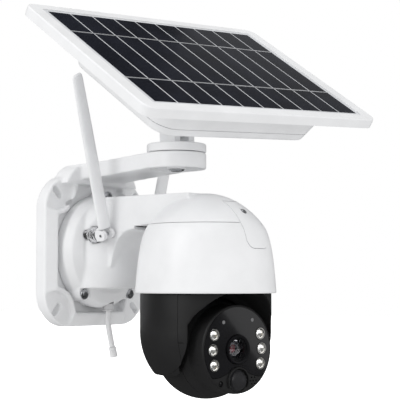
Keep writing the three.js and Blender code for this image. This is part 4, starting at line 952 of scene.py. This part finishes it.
# ---------------------------------------------------------------- motion and light sensors
# The motion sensor looks through a thin dome of black polyethylene, pressed into the
# chin; beside it sits the small polished light sensor.
poly = grained(finish("black_polyethylene", (0.022, 0.022, 0.024), 0.33), 0.5, 0.02, 0.1)
DOME_RISE = 5.8
sensor_profile = [(0, -4), (PIR_R, -4), (PIR_R, -0.2),
                  (PIR_R - 0.5, 0.3)] + cap_points(PIR_R - 0.7, DOME_RISE, 0.3, 24)
pir = facing(moved(turned(sensor_profile), z=FACE_Y), 0, PIR_Z)
piece("motion_dome", pir, poly, "head", "black_plastic", "motion_lens", place=HEAD_PLACE)
eye = facing(turned([(0, FACE_Y - 4), (2, FACE_Y - 4), (2, FACE_Y - 1.1), (1.7, FACE_Y - 0.8),
                     (1.0, FACE_Y - 0.62), (0, FACE_Y - 0.6)], 40), *SENSOR_PLACE)
piece("light_eye", eye, smoked, "head", "gloss_black", "light_sensor", place=HEAD_PLACE)


# ---------------------------------------------------------------- antennas
# Two white paddle antennas. Each has a nickel socket on the base's shoulder, a white
# knuckle that turns on it, and a blade that folds on a steel pin through the knuckle.
nickel = grained(finish("bright_nickel", (0.80, 0.80, 0.81), 0.16, 1.0), 0.9, 0.01, 0.06, 0.06)
ANTENNA_LEAN = 15.5
ANTENNA_LENGTH = 132
BLADE_HALF = 6.5
BLADE_THICK = 3.5
HINGE_OUT = 7.4
TONGUE = 2.6
ROOT_SHARE = 0.94
ROOT_HEIGHT = 5.2
TIP_SLANT = 0.25


def ring(inner, outer, z0, z1, steps=48):
    """A turned ring with small chamfers."""
    c = min(0.4, (outer - inner) / 3)
    return turned([(inner, z0), (outer - c, z0), (outer, z0 + c), (outer, z1 - c),
                   (outer - c, z1), (inner, z1), (inner, z0)], steps)


for where, side in (("left", -1), ("right", 1)):
    threads = [(4.3 - 0.35 * (i % 2), FLANGE_FRONT - 6 + 0.45 * i) for i in range(28)]
    stub = turned([(3, FLANGE_FRONT - 6)] + threads + [(3, SOCKET_FRONT - 5.6),
                                                       (3, FLANGE_FRONT - 6)], 48)
    nut = worked(rod(SOCKET_R, SOCKET_FRONT - 6.4, SOCKET_FRONT - 2.6, 6), removed=[rod(3, 0, 99)])
    socket = worked(stub, joined=[ring(3, SOCKET_R - 0.2, SOCKET_FRONT - 8, SOCKET_FRONT - 6.2),
                                  eased(nut, 0.35, 2), ring(3, SOCKET_R - 1, SOCKET_FRONT - 3,
                                                            SOCKET_FRONT)])
    spot = Matrix.Translation((side * ANTENNA_X, 0, ANTENNA_Z))
    piece(f"antenna_jack_{where}", socket, nickel, "mount", "nickel", f"antenna_socket_{where}",
          place=spot @ TO_WALL, sharp=30)
    lean = Matrix.Translation((side * ANTENNA_X, -SOCKET_FRONT, ANTENNA_Z)) @ Matrix.Rotation(
        side * math.radians(ANTENNA_LEAN), 4, "Y")
    collar = turned_to(ring(1, 5.6, 0.3, 3.4), TO_WALL)
    spigot = turned_to(rod(2.9, -7, 1), TO_WALL)
    ears = worked(block(-BLADE_HALF, BLADE_HALF, -HINGE_OUT, -2.6, -4.4, 4.4), joined=[
        moved(lying(rod(4.4, -BLADE_HALF, BLADE_HALF)), y=-HINGE_OUT)], removed=[
        block(-TONGUE - 0.3, TONGUE + 0.3, -20, -3.2, -20, 20)])
    ears = eased(ears, 0.5, 3, 50)
    knuckle = worked(collar, joined=[spigot, ears],
                     removed=[moved(lying(rod(1.3, -20, 20)), y=-HINGE_OUT)])
    piece(f"antenna_joint_{where}", knuckle, white, f"knuckle_{where}", "white_plastic",
          f"antenna_knuckle_{where}", place=lean, sharp=32)

    fold = lean @ Matrix.Translation((0, -HINGE_OUT, 0))
    pin = eased(lying(rod(1.2, -BLADE_HALF + 0.3, BLADE_HALF - 0.3, 32)), 0.25, 2, 60)
    piece(f"antenna_hinge_pin_{where}", pin, steel, f"antenna_{where}", "screw_steel",
          f"antenna_pin_{where}", place=fold)
    # The blade: an oval outline drawn up in steps, waisted at the root, with a slanted tip.
    blade = bmesh.new()
    bmesh.ops.create_circle(blade, cap_ends=True, segments=40, radius=1)
    bmesh.ops.scale(blade, verts=blade.verts, vec=(BLADE_HALF * ROOT_SHARE,
                                                   BLADE_THICK * ROOT_SHARE, 1))
    moved(blade, z=ROOT_HEIGHT)
    top = blade.faces[:]
    stations = [(5.6, 1.03, 1.03), (9, 1.03, 1.03), (30, 0.995, 0.97), (60, 0.98, 0.97),
                (90, 0.965, 0.92), (115, 0.95, 0.9), (ANTENNA_LENGTH - 5, 0.96, 0.95),
                (ANTENNA_LENGTH - 2.4, 0.95, 0.9), (ANTENNA_LENGTH - 0.9, 0.88, 0.8),
                (ANTENNA_LENGTH, 0.7, 0.55)]
    height = ROOT_HEIGHT
    for z, wide, thick in stations:
        grown = bmesh.ops.extrude_face_region(blade, geom=top)
        top = [g for g in grown["geom"] if isinstance(g, bmesh.types.BMFace)]
        rim = list({v for f in top for v in f.verts})
        bmesh.ops.translate(blade, verts=rim, vec=(0, 0, z - height))
        bmesh.ops.scale(blade, verts=rim, vec=(wide, thick, 1))
        height = z
    bmesh.ops.delete(blade, geom=[f for f in blade.faces if abs(f.normal.z) > 0.99
                                  and 5.3 < f.calc_center_median().z < ANTENNA_LENGTH - 1],
                     context="FACES_ONLY")
    for v in blade.verts:
        if v.co.z > ANTENNA_LENGTH - 6:
            v.co.z -= side * TIP_SLANT * v.co.x
    bmesh.ops.recalc_face_normals(blade, faces=blade.faces)
    tab = worked(block(-TONGUE, TONGUE, -BLADE_THICK, BLADE_THICK, 0, 7),
                 joined=[lying(rod(BLADE_THICK, -TONGUE, TONGUE))])
    blade = worked(blade, joined=[tab], removed=[lying(rod(1.3, -20, 20))])
    piece(f"antenna_paddle_{where}", blade, white, f"antenna_{where}", "white_plastic",
          f"antenna_blade_{where}", place=fold, sharp=40)


# ---------------------------------------------------------------- panel swivel
# White moulded turntable on the arm's end, held from below by a shouldered steel screw,
# with two ears for the panel's hinge bolt.
DISC_TOP = ARM_TOP + 0.3 + 7
swing_joint = joint("panel_tilt")
PIVOT = Vector(swing_joint["pos_m"]) * 1000
hinge_way = Vector(swing_joint["axis"]).to_track_quat("X", "Z").to_matrix().to_4x4()
HINGE = Matrix.Translation(PIVOT) @ hinge_way
EAR_THICK = 6
TONGUE_THICK = 9
EAR_OUT = TONGUE_THICK / 2 + 0.3 + EAR_THICK
ear_low = DISC_TOP - PIVOT.z - 2
disc = moved(turned([(0, ARM_TOP + 0.3), (ARM_HALF - 0.6, ARM_TOP + 0.3),
                     (ARM_HALF, ARM_TOP + 0.9), (ARM_HALF, DISC_TOP - 1.6)]
                    + arc(ARM_HALF - 1.6, DISC_TOP - 1.6, 1.6, 0, 90, 5)[1:]
                    + [(ARM_HALF - 4, DISC_TOP), (ARM_HALF - 4.4, DISC_TOP - 0.5),
                       (ARM_HALF - 5.4, DISC_TOP - 0.5), (ARM_HALF - 5.8, DISC_TOP), (0, DISC_TOP)]),
             y=-ARM_REACH)
ears = []
for low, high in ((EAR_OUT - EAR_THICK, EAR_OUT), (-EAR_OUT, -EAR_OUT + EAR_THICK)):
    ear = worked(block(low, high, -9, 9, ear_low, 0), joined=[lying(rod(9, low, high, 64))])
    ears.append(turned_to(eased(ear, 0.8, 3, 50), HINGE))
turntable = worked(disc, joined=ears, removed=[
    turned_to(lying(rod(3.1, -60, 60)), HINGE), moved(rod(2.6, 60, 200), y=-ARM_REACH)])
piece("swivel_turntable", turntable, white, "swivel", "white_plastic", "swivel_bracket", sharp=32)
shoulder = turned([(0, ARM_BOTTOM - 1.4), (4.8, ARM_BOTTOM - 1.4), (5.6, ARM_BOTTOM - 1.1),
                   (6.4, ARM_BOTTOM - 0.3), (4, ARM_BOTTOM - 0.3), (4, ARM_TOP - 0.2),
                   (2.4, ARM_TOP - 0.2), (2.4, DISC_TOP - 1), (0, DISC_TOP - 1)], 64)
shoulder = worked(shoulder, removed=[block(-a, a, -b, b, 50, ARM_BOTTOM - 0.5)
                                     for a, b in ((3.4, 0.7), (0.7, 3.4))])
piece("swivel_shoulder_screw", moved(shoulder, y=-ARM_REACH), turned_steel, "swivel",
      "screw_steel", "swivel_screw", sharp=30)


# ---------------------------------------------------------------- panel hinge
# A ribbed white tongue on the back of the battery box, clamped between the ears by a
# steel bolt with a hexagon head and a washer, and a round nut on its far end.
PANEL_YAW = -7.07
PANEL_TILT = 34.44
PANEL_ROLL = -4.01
TILTED = Matrix.Translation(PIVOT)
for angle, axis in ((PANEL_YAW, "Z"), (PANEL_TILT, "X"), (PANEL_ROLL, "Y")):
    TILTED = TILTED @ Matrix.Rotation(math.radians(angle), 4, axis)
PANEL_OFFSET = (-6.56, -11.69, 63.91)
TONGUE_SCREW_X = 19
TONGUE_SCREW_Y = 14
BOX_DEPTH = 26
PANEL_THICK = 8.5
bolt = worked(eased(lying(rod(3, -EAR_OUT - 1, EAR_OUT + 3.2, 32)), 0.3, 2, 60), joined=[
    eased(lying(rod(5.2, EAR_OUT + 0.9, EAR_OUT + 4, 6)), 0.4, 2, 40),
    lying(ring(2.9, 5.6, EAR_OUT + 0.3, EAR_OUT + 1.0)),
    lying(ring(2.9, 5, -EAR_OUT - 4, -EAR_OUT - 0.3))])
piece("hinge_clamp_bolt", bolt, steel, "panel", "screw_steel", "hinge_bolt", place=TILTED,
      sharp=30)
tongue_top = PANEL_OFFSET[2] - BOX_DEPTH - PANEL_THICK - 0.3
foot_plate = eased(block(-24, 24, -20, 20, tongue_top - 3.5, tongue_top), 0.9, 3)
half = TONGUE_THICK / 2
web = worked(block(-half, half, -8, 8, 0, tongue_top - 1),
             joined=[lying(rod(8, -half, half, 64))])
gusset = outline_block([(-15, tongue_top - 3), (0, tongue_top - 15), (15, tongue_top - 3)],
                       -1.5, 1.5)
gusset = turned_to(gusset, Matrix.Rotation(math.pi / 2, 4, "X"))
tongue = worked(foot_plate, joined=[eased(web, 0.8, 3, 50), moved(gusset, y=5)],
                removed=[lying(rod(3.1, -20, 20))]
                + [moved(rod(1.8, tongue_top - 9, tongue_top + 9), x, y)
                   for x in (-TONGUE_SCREW_X, TONGUE_SCREW_X)
                   for y in (-TONGUE_SCREW_Y, TONGUE_SCREW_Y)])
piece("hinge_tongue", tongue, white, "panel", "white_plastic", "panel_hinge", place=TILTED,
      sharp=32)


# ---------------------------------------------------------------- battery box
# White moulded box under the panel for the cells and the charge board: its wall flares to
# the panel's back, with a lid line round it and four sunk lid screws.
PANEL = TILTED @ Matrix.Translation(PANEL_OFFSET)
BOX_HALF = (80.5, 60)
BOX_FLARE = 7
BOX_WALL = 2.4
LID_X = 70
LID_Y = 49
BOX_TOP = -PANEL_THICK - 0.3
BOX_BOTTOM = -PANEL_THICK - BOX_DEPTH


def flared(shrink, z0, z1, corner=15, soft=0.0):
    hx = BOX_HALF[0] - shrink
    hy = BOX_HALF[1] - shrink
    shape = rounded_block(hx, hy, corner, z0, z1)
    top = [v for v in shape.verts if v.co.z > z1 - 0.01]
    bmesh.ops.scale(shape, verts=top, vec=((hx + BOX_FLARE) / hx, (hy + BOX_FLARE) / hy, 1))
    return eased(shape, soft, 5, 60) if soft else shape


def lid_groove():
    low = BOX_BOTTOM + 7
    return worked(rounded_block(99, 99, 0, low, low + 0.5),
                  removed=[moved(rounded_block(BOX_HALF[0] + 1.1, BOX_HALF[1] + 1.1, 15.5,
                                               low - 1, low + 2))])


box_shell = worked(flared(0, BOX_BOTTOM, BOX_TOP, soft=2.6),
                   removed=[flared(BOX_WALL, BOX_BOTTOM + BOX_WALL, BOX_TOP + 1), lid_groove()]
                   + [moved(rod(3.1, BOX_BOTTOM - 1, BOX_BOTTOM + 1.6, 32), x, y)
                      for x in (-LID_X, LID_X) for y in (-LID_Y, LID_Y)])
piece("battery_case", box_shell, white, "panel", "white_plastic", "battery_box", place=PANEL,
      sharp=32)
for row, y in (("low", -LID_Y), ("high", LID_Y)):
    for column, x in (("left", -LID_X), ("right", LID_X)):
        head = turned_to(machine_screw(2.8, 1.3, 1.3, 3), Matrix.Rotation(math.pi, 4, "X"))
        piece(f"lid_screw_{row}_{column}", moved(head, x, y, BOX_BOTTOM + 1.55), steel, "panel",
              "screw_steel", place=PANEL, sharp=30)


# ---------------------------------------------------------------- panel frame
# White moulded frame of the solar panel, with a raised rim round the tray for the cells
# and a shallow stiffening step on its back.
PANEL_HALF_X = 123.6
PANEL_HALF_Y = 83.5
PANEL_CORNER = 9
RIM_X = 11.5
RIM_Y = 8.6
LAMINATE_THICK = 2
glass_x = PANEL_HALF_X - RIM_X
glass_y = PANEL_HALF_Y - RIM_Y
slab = eased(rounded_block(PANEL_HALF_X, PANEL_HALF_Y, PANEL_CORNER, -PANEL_THICK, 0, 10),
             1.1, 4, 60)
step = worked(rounded_block(PANEL_HALF_X + 9, PANEL_HALF_Y + 9, 0, -PANEL_THICK - 1,
                            -PANEL_THICK + 0.7),
              removed=[rounded_block(PANEL_HALF_X - 3.5, PANEL_HALF_Y - 3.5, 7, -PANEL_THICK - 2,
                                     -PANEL_THICK + 2)])
slab = worked(slab, removed=[
    rounded_block(glass_x, glass_y, 1.5, -LAMINATE_THICK - 0.6, 5, 4), step, rod(4, -40, 5)])
piece("panel_surround", slab, white, "panel", "white_plastic", "panel_frame", place=PANEL,
      sharp=32)


# ---------------------------------------------------------------- solar laminate
# A pale backing sheet with ten strip cells side by side, joined by two tinned ribbons.
# Their top is polished, and shows fine printed fingers across them.
sheet_white = grained(finish("backing_sheet", (0.62, 0.63, 0.65), 0.5), 0.8, 0.02, 0.05)
silicon = finish("cell_silicon", (0.008, 0.009, 0.014), 0.16, sockets=[("IOR", 1.12)])
tinned = grained(finish("tinned_ribbon", (0.55, 0.56, 0.58), 0.35, 0.5), 0.5, 0.02, 0.1)
CELLS = 10
CELL_GAP = 1.3
EDGE_X = 3.4
EDGE_Y = 3.0
RIBBONS = (38, -36)
RIBBON_WIDTH = 1.5
FINGER_PITCH = 2.2


def fingers(material):
    """Fine silver fingers across the cells, drawn on the cells' own map in millimetres."""
    tree = material.node_tree
    shader = tree.nodes["Principled BSDF"]
    tint = tuple(shader.inputs["Base Color"].default_value)
    where = shader_node(tree, "UVMap")
    where.uv_map = "across"
    split = shader_node(tree, "SeparateXYZ")
    tree.links.new(where.outputs["UV"], split.inputs["Vector"])
    pitch = shader_node(tree, "Math", (1, FINGER_PITCH / 2))
    pitch.operation = "PINGPONG"
    tree.links.new(split.outputs["Y"], pitch.inputs[0])
    fine = shader_node(tree, "MapRange", ("From Min", 0.03), ("From Max", 0.09),
                       ("To Min", 0.35), ("To Max", 0))
    tree.links.new(pitch.outputs["Value"], fine.inputs["Value"])
    drift = shader_node(tree, "TexNoise", ("Scale", 30))
    place = shader_node(tree, "TexCoord")
    tree.links.new(place.outputs["Object"], drift.inputs["Vector"])
    tone = shader_node(tree, "ValToRGB")
    tone.color_ramp.elements[0].position = 0.35
    tone.color_ramp.elements[0].color = (*[0.8 * c for c in tint[:3]], 1)
    tone.color_ramp.elements[1].position = 0.65
    tone.color_ramp.elements[1].color = (*[1.3 * c for c in tint[:3]], 1)
    tree.links.new(drift.outputs["Fac"], tone.inputs["Fac"])
    mix = shader_node(tree, "Mix")
    mix.data_type = "RGBA"
    mix.inputs["B"].default_value = (0.10, 0.105, 0.115, 1)
    tree.links.new(fine.outputs["Result"], mix.inputs["Factor"])
    tree.links.new(tone.outputs["Color"], mix.inputs["A"])
    tree.links.new(mix.outputs["Result"], shader.inputs["Base Color"])
    return material


fingers(silicon)
stack = block(-glass_x + 0.3, glass_x - 0.3, -glass_y + 0.3, glass_y - 0.3, -2.3, -0.6)
cell_pitch = 2 * (glass_x - EDGE_X) / CELLS
for i in range(CELLS):
    x0 = -glass_x + EDGE_X + i * cell_pitch + CELL_GAP / 2
    added(stack, block(x0, x0 + cell_pitch - CELL_GAP, -glass_y + EDGE_Y, glass_y - EDGE_Y,
                       -0.59, -0.5), 1)
for y in RIBBONS:
    added(stack, block(-glass_x + EDGE_X, glass_x - EDGE_X, y - RIBBON_WIDTH / 2,
                       y + RIBBON_WIDTH / 2, -0.49, -0.42), 2)
across = stack.loops.layers.uv.new("across")
for face in stack.faces:
    for loop in face.loops:
        loop[across].uv = loop.vert.co.xy
piece("cell_stack", stack, [sheet_white, silicon, tinned], "panel", "solar_glass",
      "solar_laminate", place=PANEL)
